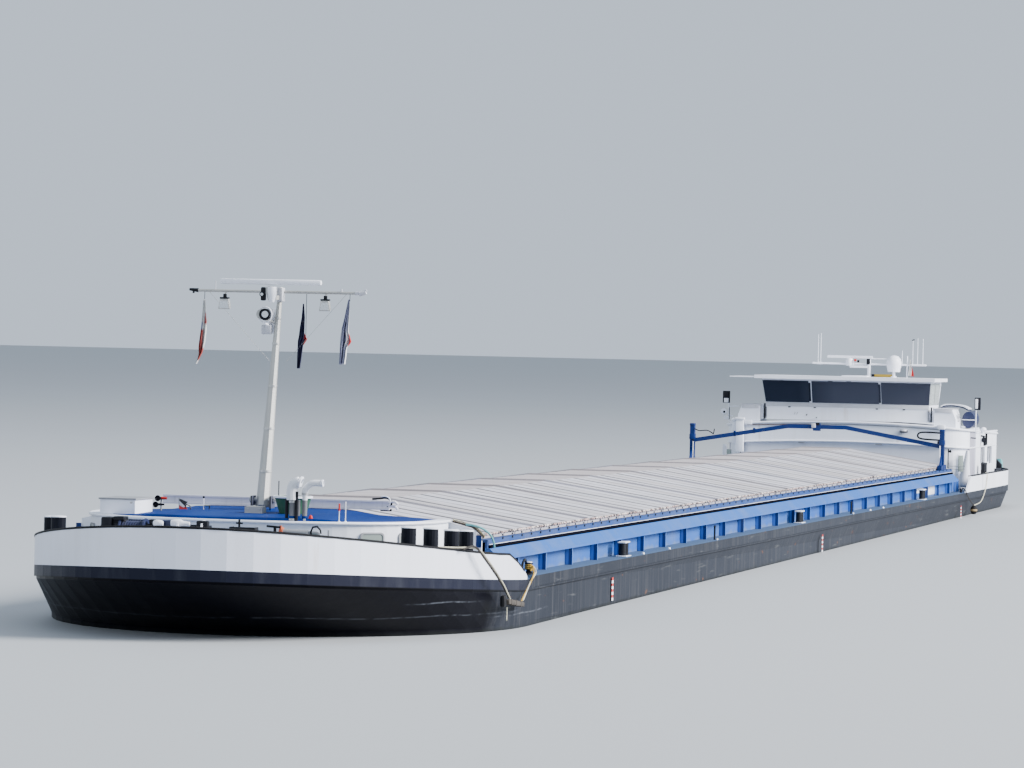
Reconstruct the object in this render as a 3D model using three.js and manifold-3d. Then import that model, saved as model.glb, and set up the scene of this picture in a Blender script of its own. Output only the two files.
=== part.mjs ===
// An inland cargo barge with a lifting wheelhouse, a hatch crane and thirteen hatch covers.
// It is a 1:10 model of a vessel 110 m long and 11.45 m wide, in millimetres.
// +X is the bow, +Y the port side and +Z up. The origin is under the middle of the flat bottom.

import * as THREE from "three";
import { mergeVertices } from "three/addons/utils/BufferGeometryUtils.js";
import Module from "manifold-3d";

const wasm = await Module();
wasm.setup();

// Driving dimensions
const GAP = 0.3; // seat between two pieces that touch
const HALF_LENGTH = 5500;
const HALF_BEAM = 572.5; // over the rubbing strake
const SIDE = 569.5; // half breadth of the shell plating
const DECK = 360; // side deck above the bottom
const WATERLINE = 253;
const STRAKE = 26; // depth of the rubbing strake

const BOW = { ease: 4420, start: 4500, reach: 1000, rise: 47, edge: 354 };
const STERN = { start: -4610, reach: 890 };

const HOLD = { aft: -3370, fore: 4670, half: 505, floor: 55 };
const SECTIONS = { aft: -3385, fore: 4685 }; // where the hull's three sections are joined
const COVERS = { count: 13, gap: 5, half: 486, flat: 95, edge: 459, ridge: 518, thick: 5, skirt: 6, ribs: 10, ribRise: 4 };
const COAMING = { top: 452, plate: 6, lip: 478, rib: 304, ribFirst: 4420, flangeTop: 432, flangeLow: 410 };

const TRUNK = { aft: 4690, start: 4700, reach: 390, half: 420, bulge: 2.6, top: 491.7, wall: 5 };
const ROOF = { rim: 497.5, inset: 12, fall: 0.35 };

const MAST = {
  x: 4810, foot: 518, pivot: 536, heel: 18, top: 1036, wide: 16.3, tip: 5.5, lean: 115, yard: [-202, 184],
};
const SCANNER = { x: 4745, y: -10, half: 114, low: 1038, high: 1052 };

const GANTRY = { x: -3150, y: 500, foot: 452.6, top: 609, flat: 115, shoulder: 552, crown: 618, deep: 16 };

const HOUSE = { fore: -3850, aft: -4800, half: 500, corner: 110, wall: 6, setBack: 8, rim: 4 };
const DECKHEAD = { crown: 625, camber: 20, fall: 24, thick: 9 };

const WHEELHOUSE = {
  fore: -3900, aft: -4180, half: 339, floor: 629.6, sill: 699, head: 781, eaves: 793, roof: 807,
  rake: 35, flare: 9, wall: 5, mullion: 145,
};
const COLUMN = { x: -4040, outer: 26, bore: 18.3, ram: 18, top: 617, ramFoot: 385 };

const SCREW = { x: -4935, z: 100, radius: 78, nozzle: 85, nozzleWall: 9 };
const RUDDER = { x: -5090, y: 45, low: 14, high: 184, chord: 110, ahead: 34, stock: 7 };

// Colours of the materials
const WHITE = 0xe1e4f0;
const BLACK = 0x15171c;
const HULL_GREY = 0x3a3d42;
const BLUE = 0x3e6eb4;
const DEEP_BLUE = 0x19418f;
const COVER_GREY = 0xb9b4b6;
const ALUMINIUM = 0xa5a59e;
const GLASS = 0x28283a;
const GREEN = 0x1f5a40;
const BRONZE = 0x9a7440;

// Solids and their joins

function solid(geometry) {
  const bare = geometry.clone();
  bare.deleteAttribute("normal");
  bare.deleteAttribute("uv");
  const merged = mergeVertices(bare, 1e-4);
  return new wasm.Manifold(
    new wasm.Mesh({
      numProp: 3,
      vertProperties: new Float32Array(merged.attributes.position.array),
      triVerts: new Uint32Array(merged.index.array),
    }),
  );
}

function join(...pieces) {
  return pieces.reduce((whole, piece) => whole.add(piece));
}

function cut(body, ...tools) {
  return tools.reduce((left, tool) => left.subtract(tool), body);
}

function box([x0, x1], [y0, y1], [z0, z1]) {
  const geometry = new THREE.BoxGeometry(x1 - x0, y1 - y0, z1 - z0);
  geometry.translate((x0 + x1) / 2, (y0 + y1) / 2, (z0 + z1) / 2);
  return solid(geometry);
}

function outline(points) {
  return new THREE.Shape(points.map(([a, b]) => new THREE.Vector2(a, b)));
}

// A prism on a plan outline of [x, y] points, from z0 to z1, its points then moved by bend(point).
function prismZ(points, [z0, z1], steps = 1, bend = null) {
  const geometry = new THREE.ExtrudeGeometry(outline(points), { depth: z1 - z0, steps, bevelEnabled: false });
  geometry.translate(0, 0, z0);
  return solid(bend ? reshape(geometry, bend) : geometry);
}

// A prism on a cross-section of [y, z] points, from x0 to x1, its points then moved by bend(point).
function prismX(points, [x0, x1], bend = null) {
  const geometry = new THREE.ExtrudeGeometry(outline(points), { depth: x1 - x0, bevelEnabled: false });
  const turn = new THREE.Matrix4().makeBasis(
    new THREE.Vector3(0, 1, 0), new THREE.Vector3(0, 0, 1), new THREE.Vector3(1, 0, 0));
  geometry.applyMatrix4(turn);
  geometry.translate(x0, 0, 0);
  return solid(bend ? reshape(geometry, bend) : geometry);
}

// A prism on a side view of [x, z] points, from y0 to y1, its points then moved by bend(point).
function prismY(points, [y0, y1], steps = 1, bend = null) {
  const swapped = points.map(([x, z]) => [z, x]);
  const geometry = new THREE.ExtrudeGeometry(outline(swapped), { depth: y1 - y0, steps, bevelEnabled: false });
  const turn = new THREE.Matrix4().makeBasis(
    new THREE.Vector3(0, 0, 1), new THREE.Vector3(1, 0, 0), new THREE.Vector3(0, 1, 0));
  geometry.applyMatrix4(turn);
  geometry.translate(0, y0, 0);
  return solid(bend ? reshape(geometry, bend) : geometry);
}

function reshape(geometry, bend) {
  const place = geometry.attributes.position;
  const point = new THREE.Vector3();
  for (let i = 0; i < place.count; i += 1) {
    point.fromBufferAttribute(place, i);
    bend(point);
    place.setXYZ(i, point.x, point.y, point.z);
  }
  return geometry;
}

// A round bar or cone between two points.
function bar(from, to, radius, tipRadius = radius, sides = 16) {
  const a = new THREE.Vector3(...from);
  const b = new THREE.Vector3(...to);
  const along = b.clone().sub(a);
  const geometry = new THREE.CylinderGeometry(tipRadius, radius, along.length(), sides);
  const turn = new THREE.Quaternion().setFromUnitVectors(new THREE.Vector3(0, 1, 0), along.normalize());
  geometry.applyQuaternion(turn);
  geometry.translate((a.x + b.x) / 2, (a.y + b.y) / 2, (a.z + b.z) / 2);
  return solid(geometry);
}

// A round tube bent along a smooth curve through the points.
function bentBar(points, radius, steps, sides = 10) {
  const path = new THREE.CatmullRomCurve3(points.map((p) => new THREE.Vector3(...p)));
  const section = new THREE.Shape();
  section.absarc(0, 0, radius, 0, 2 * Math.PI);
  return solid(
    new THREE.ExtrudeGeometry(section, { steps, extrudePath: path, curveSegments: sides / 2, bevelEnabled: false }));
}

function mirrored(piece) {
  return piece.mirror([0, 1, 0]);
}

function bothSides(piece) {
  return join(piece, mirrored(piece));
}

const barge = new THREE.Group();

function add(name, piece, colour, { rough = 0.55, metal = 0.2 } = {}) {
  const mesh = piece.getMesh();
  const geometry = new THREE.BufferGeometry();
  geometry.setAttribute("position", new THREE.BufferAttribute(mesh.vertProperties, 3));
  geometry.setIndex(new THREE.BufferAttribute(mesh.triVerts, 1));
  geometry.computeVertexNormals();
  const material = new THREE.MeshStandardMaterial({ color: colour, roughness: rough, metalness: metal });
  const node = new THREE.Mesh(geometry, material);
  node.name = name;
  barge.add(node);
}

// Plan outline of the hull: straight sides with half an ellipse at the bow and at the stern.
function hullPlan(inset, bowSteps, sternSteps) {
  const points = [];
  for (let i = 0; i <= bowSteps; i += 1) {
    const turn = -Math.PI / 2 + (Math.PI * i) / bowSteps;
    points.push([
      BOW.start + (BOW.reach - inset) * Math.cos(turn),
      (HALF_BEAM - inset) * Math.sin(turn),
    ]);
  }
  for (let i = 0; i <= sternSteps; i += 1) {
    const turn = Math.PI / 2 + (Math.PI * i) / sternSteps;
    points.push([
      STERN.start + (STERN.reach - inset) * Math.cos(turn),
      (HALF_BEAM - inset) * Math.sin(turn),
    ]);
  }
  return points;
}

// Top of the rubbing strake and of the deck: level, and rising to the stem over the bow.
function deckLine(x) {
  if (x < BOW.ease) return DECK;
  if (x < BOW.start) return DECK + ((BOW.edge - DECK) * (x - BOW.ease)) / (BOW.start - BOW.ease);
  return BOW.edge + BOW.rise * ((x - BOW.start) / BOW.reach) ** 1.15;
}

function bulwarkLine(x) {
  const ends = { foot: 4510, low: 362, curve: 4664, top: 421, rise: 74 };
  if (x < ends.curve) {
    const t = Math.max(0, x - ends.foot) / (ends.curve - ends.foot);
    return ends.low + (ends.top - ends.low) * t ** 0.8;
  }
  return ends.top + ends.rise * ((x - ends.curve) / (HALF_LENGTH - ends.curve)) ** 1.3;
}

// Places along the ship, from one to the other.
function stations(from, to, steps) {
  return Array.from({ length: steps + 1 }, (_, i) => from + ((to - from) * i) / steps);
}

const BEYOND = 5600; // past either end of the ship
const DECK_STATIONS = [-BEYOND, BOW.ease, ...stations(BOW.start, BEYOND, 11)];

// The space between two lines low(x) and high(x), right across the ship.
function band(low, high, places) {
  const under = places.map((x) => [x, low(x)]);
  const over = places.map((x) => [x, high(x)]).reverse();
  return prismY([...under, ...over], [-700, 700]);
}

// Hull: flared bow, run up to the stern, hold, screw bossing and bollards

// How the plan narrows with height: z, bow reach, breadth at the stern, stern reach
const FLARE = [
  { z: 0, bow: 380, breadth: 0.86, stern: 0.7 },
  { z: 60, bow: 560, breadth: 0.87, stern: 0.72 },
  { z: 140, bow: 650, breadth: 0.88, stern: 0.74 },
  { z: 253, bow: 715, breadth: 0.95, stern: 0.85 },
  { z: 328, bow: 985, breadth: 0.995, stern: 0.98 },
  { z: 450, bow: 985, breadth: 1, stern: 1 },
];

function hullBend(point) {
  const level = FLARE[Math.round((point.z * (FLARE.length - 1)) / 450)];
  const sheer = level.z > WATERLINE && point.x > BOW.start ? deckLine(point.x) - DECK : 0;
  point.z = level.z + sheer;
  if (point.x > BOW.start) {
    point.x = BOW.start + ((point.x - BOW.start) * level.bow) / BOW.reach;
  }
  if (point.x < -3800) {
    const share = Math.min(1, (-3800 - point.x) / (-3800 - STERN.start));
    point.y *= 1 + (level.breadth - 1) * share;
  }
  if (point.x < STERN.start) {
    point.x = STERN.start + (point.x - STERN.start) * level.stern;
  }
}

function runLine(x) {
  const t = Math.min(1, Math.max(0, (-4300 - x) / 560));
  return 205 * t * t * (3 - 2 * t) + Math.max(0, (-5120 - x) * 0.33);
}

function bollard(x, y, height) {
  const base = deckLine(x) - 4;
  return bar([x, y, base], [x, y, base + height], 17.5);
}

const BOLLARDS = [
  // x, y, height
  [5060, 418, 116],
  [5000, 455, 116],
  [4912, 482, 114],
  [4850, 502, 114],
  [-4760, 515, 70],
  [-4820, 508, 70],
];

function makeHull() {
  const shell = prismZ(hullPlan(HALF_BEAM - SIDE, 32, 20), [0, 450], FLARE.length - 1, hullBend);
  const strake = cut(
    prismZ(hullPlan(0, 32, 20), [300, 420]),
    prismZ(hullPlan(40, 32, 20), [290, 430]),
  ).intersect(band((x) => deckLine(x) - STRAKE, deckLine, DECK_STATIONS));
  const above = band(deckLine, () => 700, DECK_STATIONS);
  const run = band(() => -50, runLine, [...stations(-BEYOND, -5120, 1), ...stations(-4860, -4300, 8)]);
  const hold = box([HOLD.aft, HOLD.fore], [-HOLD.half, HOLD.half], [HOLD.floor, 500]);
  const skeg = box([-4860, -4290], [-7, 7], [0, 200]);
  const bossing = bar([-4300, 0, SCREW.z], [-4905, 0, SCREW.z], 20, 13);
  const screwRing = cut(
    bar([SCREW.x + 32, 0, SCREW.z], [SCREW.x - 32, 0, SCREW.z], SCREW.nozzle + SCREW.nozzleWall, undefined, 32),
    bar([SCREW.x + 40, 0, SCREW.z], [SCREW.x - 40, 0, SCREW.z], SCREW.nozzle, undefined, 32),
  );
  const hanger = box([SCREW.x - 25, SCREW.x + 25], [-14, 14], [SCREW.z + SCREW.nozzle + 3, 215]);
  const arm = box([SCREW.x - 10, -4850], [-7, 7], [4, 13]);
  let hull = cut(shell.add(strake), above, run, hold);
  hull = join(hull, skeg, bossing, screwRing, hanger, arm, box([-4870, -4840], [-7, 7], [0, 200]));
  for (const side of [-1, 1]) {
    const y = side * RUDDER.y;
    hull = hull.subtract(bar([RUDDER.x, y, 150], [RUDDER.x, y, 245], RUDDER.stock + GAP));
    for (const [x, across, height] of BOLLARDS) hull = hull.add(bollard(x, side * across, height));
  }
  return hull;
}

function hullSection(hull, [x0, x1]) {
  return hull.intersect(box([x0, x1], [-700, 700], [-50, 700]));
}

// Bulwarks round the bow and round the stern

function makeBowBulwark() {
  const wall = cut(prismZ(hullPlan(0, 32, 2), [300, 520]), prismZ(hullPlan(7, 32, 2), [290, 530]));
  const rail = cut(prismZ(hullPlan(0, 32, 2), [300, 520]), prismZ(hullPlan(14, 32, 2), [290, 530]));
  const curve = [4510, 4530, 4560, 4610, 4664];
  return join(
    wall.intersect(band((x) => deckLine(x) + GAP, bulwarkLine, [...curve, ...stations(4760, BEYOND, 8)])),
    rail.intersect(band((x) => bulwarkLine(x) - 7, bulwarkLine, [...curve.slice(2), ...stations(4760, BEYOND, 8)])),
  );
}

const STERN_WALL = { foot: -3360, shoulder: -3500, top: 423 };

function makeSternBulwark() {
  const wall = cut(prismZ(hullPlan(0, 2, 24), [300, 520]), prismZ(hullPlan(7, 2, 24), [290, 530]));
  const side = prismY([
    [STERN_WALL.foot, DECK + GAP], [STERN_WALL.shoulder, STERN_WALL.top],
    [-5600, STERN_WALL.top], [-5600, DECK + GAP],
  ], [-700, 700]);
  return wall.intersect(side);
}

// Coamings round the hold

function makeSideCoaming() {
  const { top, plate, lip, flangeTop, flangeLow } = COAMING;
  const inner = HOLD.half;
  const run = [HOLD.aft, HOLD.fore];
  const wall = prismX([
    [inner, DECK + GAP], [inner + plate, DECK + GAP], [inner + plate, flangeLow - 6],
    [537, flangeLow - 6], [537, flangeLow], [inner + plate + 6, flangeTop],
    [inner + plate, flangeTop], [inner + plate, top], [lip, top], [lip, top - plate], [inner, top - plate],
  ], run);
  let coaming = wall;
  for (let x = COAMING.ribFirst; x > HOLD.aft; x -= COAMING.rib) {
    coaming = coaming.add(box([x - 3, x + 3], [inner + 2, 530], [DECK + GAP, flangeLow - 3]));
  }
  return coaming;
}

// White bulkhead that closes the fore end of the hold, its top falling outwards from the fore cabin
const BULKHEAD = { flat: 420, top: 491, edge: 486, low: 474, foot: 499 };

function makeForeBulkhead([x0, x1]) {
  const { flat, top, edge, low, foot } = BULKHEAD;
  const half = [[foot, deckLine(x0) + GAP], [foot, COAMING.top - 2], [edge, COAMING.top], [edge, low], [flat, top]];
  return prismX([...half.map(([y, z]) => [-y, z]), ...half.reverse()], [x0, x1]);
}

function makeEndCoaming([x0, x1]) {
  const { top, plate } = COAMING;
  const wall = box([x0, x1], [-HOLD.half + GAP, HOLD.half - GAP], [deckLine(x0) + GAP, top - plate - GAP]);
  const rise = prismX([
    [-COAMING.lip + GAP, top - plate - 8], [COAMING.lip - GAP, top - plate - 8],
    [COAMING.lip - GAP, top], [COVERS.flat, COVERS.ridge - COVERS.thick - 6],
    [-COVERS.flat, COVERS.ridge - COVERS.thick - 6], [-COAMING.lip + GAP, top],
  ], [x0, x1]);
  return wall.add(rise);
}

// Hatch covers: a folded plate with ribs across the ship, flat along the middle, on a low skirt

function coverLift(y) {
  const share = (COVERS.half - Math.abs(y)) / (COVERS.half - COVERS.flat);
  return (COVERS.ridge - COVERS.edge) * Math.min(1, share);
}

function makeCover([x0, x1]) {
  const { half, flat, edge, thick, skirt, ribs, ribRise } = COVERS;
  const end = 10; // plain plate at either end
  const pitch = (x1 - x0 - 2 * end) / ribs;
  const profile = [[x0, edge - thick], [x0, edge + 2 * ribRise], [x0 + 4, edge + 2 * ribRise], [x0 + 4, edge]];
  for (let i = 0; i < ribs; i += 1) {
    const x = x0 + end + i * pitch;
    profile.push(
      [x, edge], [x + 0.18 * pitch, edge + ribRise],
      [x + 0.58 * pitch, edge + ribRise], [x + 0.76 * pitch, edge],
    );
  }
  profile.push([x1 - 4, edge], [x1 - 4, edge + 2 * ribRise], [x1, edge + 2 * ribRise], [x1, edge - thick]);
  const plate = prismY(profile, [-half, half], 3, (p) => {
    if (Math.abs(p.y) < half - 1) p.y = Math.sign(p.y) * flat;
    p.z += coverLift(p.y);
  });
  const side = box([x0, x1], [half - skirt, half], [COAMING.top + GAP, edge - 1]);
  return join(plate, bothSides(side));
}

// Hatch crane that straddles the covers

function makeGantry() {
  const { x, y, foot, top, flat, shoulder, crown, deep } = GANTRY;
  const beam = prismX([
    [-y, shoulder - deep], [-y, shoulder], [-flat, crown], [flat, crown], [y, shoulder],
    [y, shoulder - deep], [flat, crown - deep], [-flat, crown - deep],
  ], [x - 8, x + 8]);
  const post = join(
    box([x - 12, x + 12], [y - 9, y + 9], [foot, top]),
    box([x - 70, x + 70], [y - 8, y + 8], [foot, foot + 18]),
  );
  return join(beam, bothSides(post), box([x - 12, x + 12], [-14, 14], [crown - 24, crown + 6]));
}

// Fore cabin with its crowned roof, vents and mast foot

function trunkPlan(inset, steps = 32) {
  const points = [];
  const fuller = (share) => Math.sign(share) * Math.abs(share) ** (2 / TRUNK.bulge);
  for (let i = 0; i <= steps; i += 1) {
    const turn = -Math.PI / 2 + (Math.PI * i) / steps;
    points.push([
      TRUNK.start + (TRUNK.reach - inset) * fuller(i % steps ? Math.cos(turn) : 0),
      (TRUNK.half - inset) * fuller(Math.sin(turn)),
    ]);
  }
  const back = TRUNK.aft + Math.min(inset, TRUNK.wall);
  points.push([back, TRUNK.half - inset], [back, -TRUNK.half + inset]);
  return points;
}

function makeForeCabin() {
  return cut(
    prismZ(trunkPlan(0), [340, TRUNK.top]),
    prismZ(trunkPlan(TRUNK.wall), [330, TRUNK.top + 10]),
    band(() => 200, (x) => deckLine(x) + GAP, DECK_STATIONS),
  );
}

// Half of the roof's crown: y, z at its aft end
const CROWN = [[420, 497], [330, 501], [256, 504], [228, 508], [196, 513], [150, 515], [0, 516]];
const LOCKER = { x: [4855, 4990], y: [-341, -256], low: 498.3, high: 532, wall: 3 };
const BIN = { x: 4900, y: 99, low: 508, high: 550, foot: 31, rim: 44, wall: 2 };

function makeForeRoof() {
  const rim = prismZ(trunkPlan(-3), [TRUNK.top + GAP, ROOF.rim]);
  const section = [...CROWN, ...CROWN.slice(0, -1).reverse().map(([y, z]) => [-y, z])];
  const arch = prismX([[-420, 485], [420, 485], ...section], [TRUNK.aft, TRUNK.start + TRUNK.reach], (p) => {
    const low = p.x > TRUNK.start && p.z > ROOF.rim;
    if (low) p.z = ROOF.rim + (p.z - ROOF.rim) * ROOF.fall;
  });
  const nose = band((x) => ROOF.rim + 8 + (5060 - x) * 0.16, () => 600, [4950, 5200]);
  const crown = arch.intersect(prismZ(trunkPlan(ROOF.inset), [ROOF.rim - 1, 540]));
  const seat = box([LOCKER.x[0] - 4, LOCKER.x[1] + 4], [LOCKER.y[0] - 4, LOCKER.y[1] + 4], [LOCKER.low - GAP, 600]);
  const binSeat = bar([BIN.x, BIN.y, BIN.low - GAP], [BIN.x, BIN.y, 540], BIN.foot + 4);
  const cheeks = bothSides(box([MAST.x - 16, MAST.x + 16], [20.5, 25], [505, MAST.pivot + 9]));
  const pins = bar([MAST.x, -40, MAST.pivot], [MAST.x, 40, MAST.pivot], 5);
  const mastBox = box([4905, 4940], [-6, 36], [500, 523]);
  return join(cut(join(rim, cut(crown, nose), cheeks), seat, binSeat, pins), mastBox, ...foreVents());
}

// Two swan-neck vents and a plain pipe between them at the roof's port edge
function foreVents() {
  const foot = ROOF.rim - 2;
  return [
    bar([5063, 143, foot], [5063, 143, 552], 7, 7, 12),
    bentBar([[5063, 142, 546], [5063, 141, 566], [5063, 147, 584], [5063, 159, 588]], 12.5, 8, 12),
    bar([5062, 158, foot], [5062, 158, 546], 3.5, 3.5, 8),
    bar([5055, 170, foot], [5055, 170, 566], 6, 6, 12),
    bentBar([[5055, 170, 561], [5055, 173, 575], [5055, 186, 585], [5055, 208, 586]], 7.5, 9, 12),
  ];
}

function makeBin() {
  const { x, y, low, high, foot, rim, wall } = BIN;
  return cut(
    bar([x, y, low], [x, y, high], foot, rim, 24),
    bar([x, y, low + wall], [x, y, high + 0.5], foot - wall, rim - wall, 24),
  );
}

// Gangplank stowed on edge behind the fore cabin, with a hook at its port end
const PLANK = { x: [4692, 4702], low: 516.2, high: 538, half: 278 };

function makeGangplank() {
  const { x, low, high, half } = PLANK;
  const middle = (x[0] + x[1]) / 2;
  const web = cut(
    box(x, [-half, half], [low, high]),
    box([x[0] - 1, x[0] + 3], [-half - 1, half + 1], [low + 4, high - 4]),
    box([x[1] - 3, x[1] + 1], [-half - 1, half + 1], [low + 4, high - 4]),
  );
  const hook = (z) => bentBar([[middle, half - 2, z], [middle, half + 14, z + 1], [middle, half + 20, z - 6]], 3, 5, 8);
  return join(web, hook(high - 3), hook(low + 8));
}

// Locker on the fore cabin, with a lid

function makeLocker() {
  const { x, y, low, high, wall } = LOCKER;
  return cut(
    box(x, y, [low, high]),
    box([x[0] + wall, x[1] - wall], [y[0] + wall, y[1] - wall], [low + wall, high + 5]),
  );
}

function makeLockerLid() {
  const { x, y, high } = LOCKER;
  return box([x[0] - 3, x[1] + 3], [y[0] - 3, y[1] + 3], [high + GAP, high + 4]);
}

// Bow mast with its yard, and the radar scanner on it

function mastPoint(z) {
  return MAST.x - (MAST.lean * (z - MAST.foot)) / (MAST.top - MAST.foot);
}

// Lamps below the yard: two floodlights, each with its place across the ship and half breadth,
// and a searchlight
const FLOODLIGHTS = [[-134, 14], [113, 13]];
const SEARCHLIGHT = { y: -33, z: 971, radius: 12.5, x: [4717, 4741] };

function makeMastLamps(head) {
  const { y: across, z: height, radius, x: ends } = SEARCHLIGHT;
  const floods = FLOODLIGHTS.map(([y, half]) => join(
    prismX([[y - half, 985], [y + half, 985], [y + half - 4, 1007], [y - half + 4, 1007]], [4701, 4711]),
    bar([head, y, 1025], [4704, y, 1004], 2, 2, 8),
  ));
  return join(
    ...floods,
    bar([ends[0], across, height], [ends[1], across, height], radius, radius, 20),
    bar([mastPoint(950), 0, 950], [ends[0] + 10, across, height - radius + 2], 3.2, 3.2, 8),
  );
}

function makeMast() {
  const length = MAST.top - MAST.foot;
  const tube = new THREE.CylinderGeometry(MAST.tip, MAST.wide, length, 8);
  tube.rotateY(Math.PI / 8);
  tube.rotateX(Math.PI / 2);
  tube.translate(0, 0, MAST.foot + length / 2);
  const leaning = solid(reshape(tube, (p) => {
    p.x += mastPoint(p.z);
  }));
  const heel = cut(
    box([MAST.x, MAST.x + 40], [-40, 40], [MAST.foot - 10, MAST.pivot]),
    bar([MAST.x, -50, MAST.pivot], [MAST.x, 50, MAST.pivot], MAST.heel, undefined, 32),
  );
  const pin = bar([MAST.x, -24, MAST.pivot], [MAST.x, 24, MAST.pivot], 4.5);
  const head = mastPoint(1025);
  const yard = bar([head, MAST.yard[0], 1025], [head, MAST.yard[1], 1025], 3.5, 3.5, 8);
  const arm = box([head - 6, SCANNER.x], [-8, 3], [1006, 1016]);
  const gearbox = join(
    box([SCANNER.x - 15, SCANNER.x + 15], [SCANNER.y - 11, SCANNER.y + 11], [1019, SCANNER.low - 3]),
    bar([SCANNER.x, SCANNER.y, 1004], [SCANNER.x, SCANNER.y, 1020], 6, 10),
    bar([SCANNER.x, SCANNER.y, 1030], [SCANNER.x, SCANNER.y, SCANNER.low - GAP], 7),
  );
  return join(cut(leaning, heel), pin, yard, arm, gearbox, makeMastLamps(head));
}

function makeScanner(x, y, [z0, z1], half) {
  return join(
    box([x - 5, x + 5], [y - half, y + half], [z0 + 3, z1]),
    bar([x, y, z0], [x, y, z0 + 5], 6),
  );
}

// Anchor winches on the fore deck

const WINCHES = [
  // name, x, y
  { side: "starboard", x: 5340, y: -148 },
  { side: "port", x: 5345, y: -10 },
];
const DRUM = { z: 479, radius: 26, core: 14, half: 30, axle: 5 };

function makeWinchFrame({ x, y }) {
  const base = deckLine(x + 40) + GAP;
  const low = box([x - 40, x + 40], [y - 45, y + 45], [base, base + 8]);
  const cheek = (side) => box([x - 14, x + 14], [y + side * 38 - 4, y + side * 38 + 4], [base + 2, DRUM.z + 14]);
  return cut(join(low, cheek(-1), cheek(1)), bar([x, y - 60, DRUM.z], [x, y + 60, DRUM.z], DRUM.axle + GAP));
}

function makeWinchDrum({ x, y }) {
  const flange = (side) => bar([x, y + side * DRUM.half, DRUM.z], [x, y + side * (DRUM.half - 4), DRUM.z], DRUM.radius);
  return join(
    bar([x, y - DRUM.half, DRUM.z], [x, y + DRUM.half, DRUM.z], DRUM.core),
    bar([x, y - 46, DRUM.z], [x, y + 46, DRUM.z], DRUM.axle),
    flange(-1),
    flange(1),
  );
}

// Deckhouse, its roof and what stands on it

function housePlan(inset) {
  const { fore, aft, half, corner } = HOUSE;
  const shape = new THREE.Shape();
  shape.moveTo(aft + inset, -half + inset);
  shape.lineTo(fore - corner, -half + inset);
  shape.absarc(fore - corner, -half + corner, corner - inset, -Math.PI / 2, 0);
  shape.absarc(fore - corner, half - corner, corner - inset, 0, Math.PI / 2);
  shape.lineTo(aft + inset, half - inset);
  return shape.extractPoints(6).shape.map((p) => [p.x, p.y]);
}

const HOUSE_DOOR = { y: [120, 205], z: [372, 530] };
const HOUSE_WINDOWS = [
  // x range, z range
  [[-4425, -4284], [456, 525]],
  [[-4655, -4498], [456, 525]],
];

// The deckhead's top: an arch across the ship, its sides falling towards the stern.
function deckheadTop(x, y) {
  const across = (y / HOUSE.half) ** 2;
  const along = (HOUSE.fore - x) / (HOUSE.fore - HOUSE.aft);
  return DECKHEAD.crown - (DECKHEAD.camber + DECKHEAD.fall * along) * across;
}

// The space between the deckhead's top moved down by the two depths
function underDeckhead(less, more) {
  const places = stations(-HOUSE.half - 20, HOUSE.half + 20, 16);
  const over = places.map((y) => [y, -less]);
  const under = places.map((y) => [y, -more]).reverse();
  return prismX([...over, ...under], [HOUSE.aft - 20, HOUSE.fore + 20], (p) => {
    p.z += deckheadTop(p.x, p.y);
  });
}

// Lower edge of the house's upper course
function courseLine(y) {
  return 540 - 16 * (y / HOUSE.half) ** 2;
}

function makeDeckhouse() {
  const { wall, setBack, rim } = HOUSE;
  const places = stations(-520, 520, 12);
  const course = (from, to) => prismX([
    ...places.map((y) => [y, courseLine(y) + from]),
    ...places.map((y) => [y, courseLine(y) + to]).reverse(),
  ], [HOUSE.aft - 20, HOUSE.fore + 20]);
  const walls = cut(
    join(
      prismZ(housePlan(setBack), [DECK + GAP, 545]),
      prismZ(housePlan(0), [500, 700]).intersect(course(0, 200)),
      prismZ(housePlan(-rim), [500, 600]).intersect(course(0, 5)),
    ),
    prismZ(housePlan(setBack + wall), [DECK - 10, 548]),
    prismZ(housePlan(wall), [547, 710]),
    underDeckhead(-200, DECKHEAD.thick + GAP),
  );
  let house = cut(walls, box([HOUSE.aft - 10, HOUSE.aft + 30], HOUSE_DOOR.y, HOUSE_DOOR.z));
  for (const [x, z] of HOUSE_WINDOWS) house = house.subtract(box(x, [-600, 600], z));
  return house;
}

function makeHouseRoof() {
  const plate = underDeckhead(0, DECKHEAD.thick).intersect(prismZ(housePlan(-6), [500, 700]));
  const well = bar([COLUMN.x, 0, 560], [COLUMN.x, 0, 640], COLUMN.outer + 3);
  const wing = prismX([[362, 600], [452, 600], [452, 640], [440, 672], [436, 684], [362, 684]], [-4060, -3885]);
  const wingFoot = bothSides(wing).subtract(underDeckhead(2, 200));
  return join(cut(plate, well), wingFoot);
}

function makeHouseDoor() {
  const { y, z } = HOUSE_DOOR;
  const face = HOUSE.aft + HOUSE.setBack;
  return box([face - 1, face + 3], [y[0] + GAP, y[1] - 2], [z[0] + 2, z[1] - 2]);
}

// Wheelhouse on its lifting column

function makeColumn() {
  return cut(
    bar([COLUMN.x, 0, DECK + GAP], [COLUMN.x, 0, COLUMN.top], COLUMN.outer, undefined, 24),
    bar([COLUMN.x, 0, DECK + 12], [COLUMN.x, 0, COLUMN.top + 10], COLUMN.bore, undefined, 24),
  );
}

function cabPlan(inset) {
  const { fore, aft, half } = WHEELHOUSE;
  return [
    [aft + inset, -half + inset], [fore - inset, -half + inset], [fore - inset, half - inset], [aft + inset, half - inset],
  ];
}

// Above the sill the front leans forward and the sides flare outward.
function cabBend(point) {
  const { sill, head, rake, flare, fore, half } = WHEELHOUSE;
  const up = (point.z - sill) / (head - sill);
  if (up < 0) return;
  const ahead = (point.x - WHEELHOUSE.aft) / (fore - WHEELHOUSE.aft);
  point.x += rake * up * Math.max(0, ahead);
  point.y += (flare * up * point.y) / half;
}

const CAB_DOOR = { y: [-60, 20], z: [638, 776] };

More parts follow.
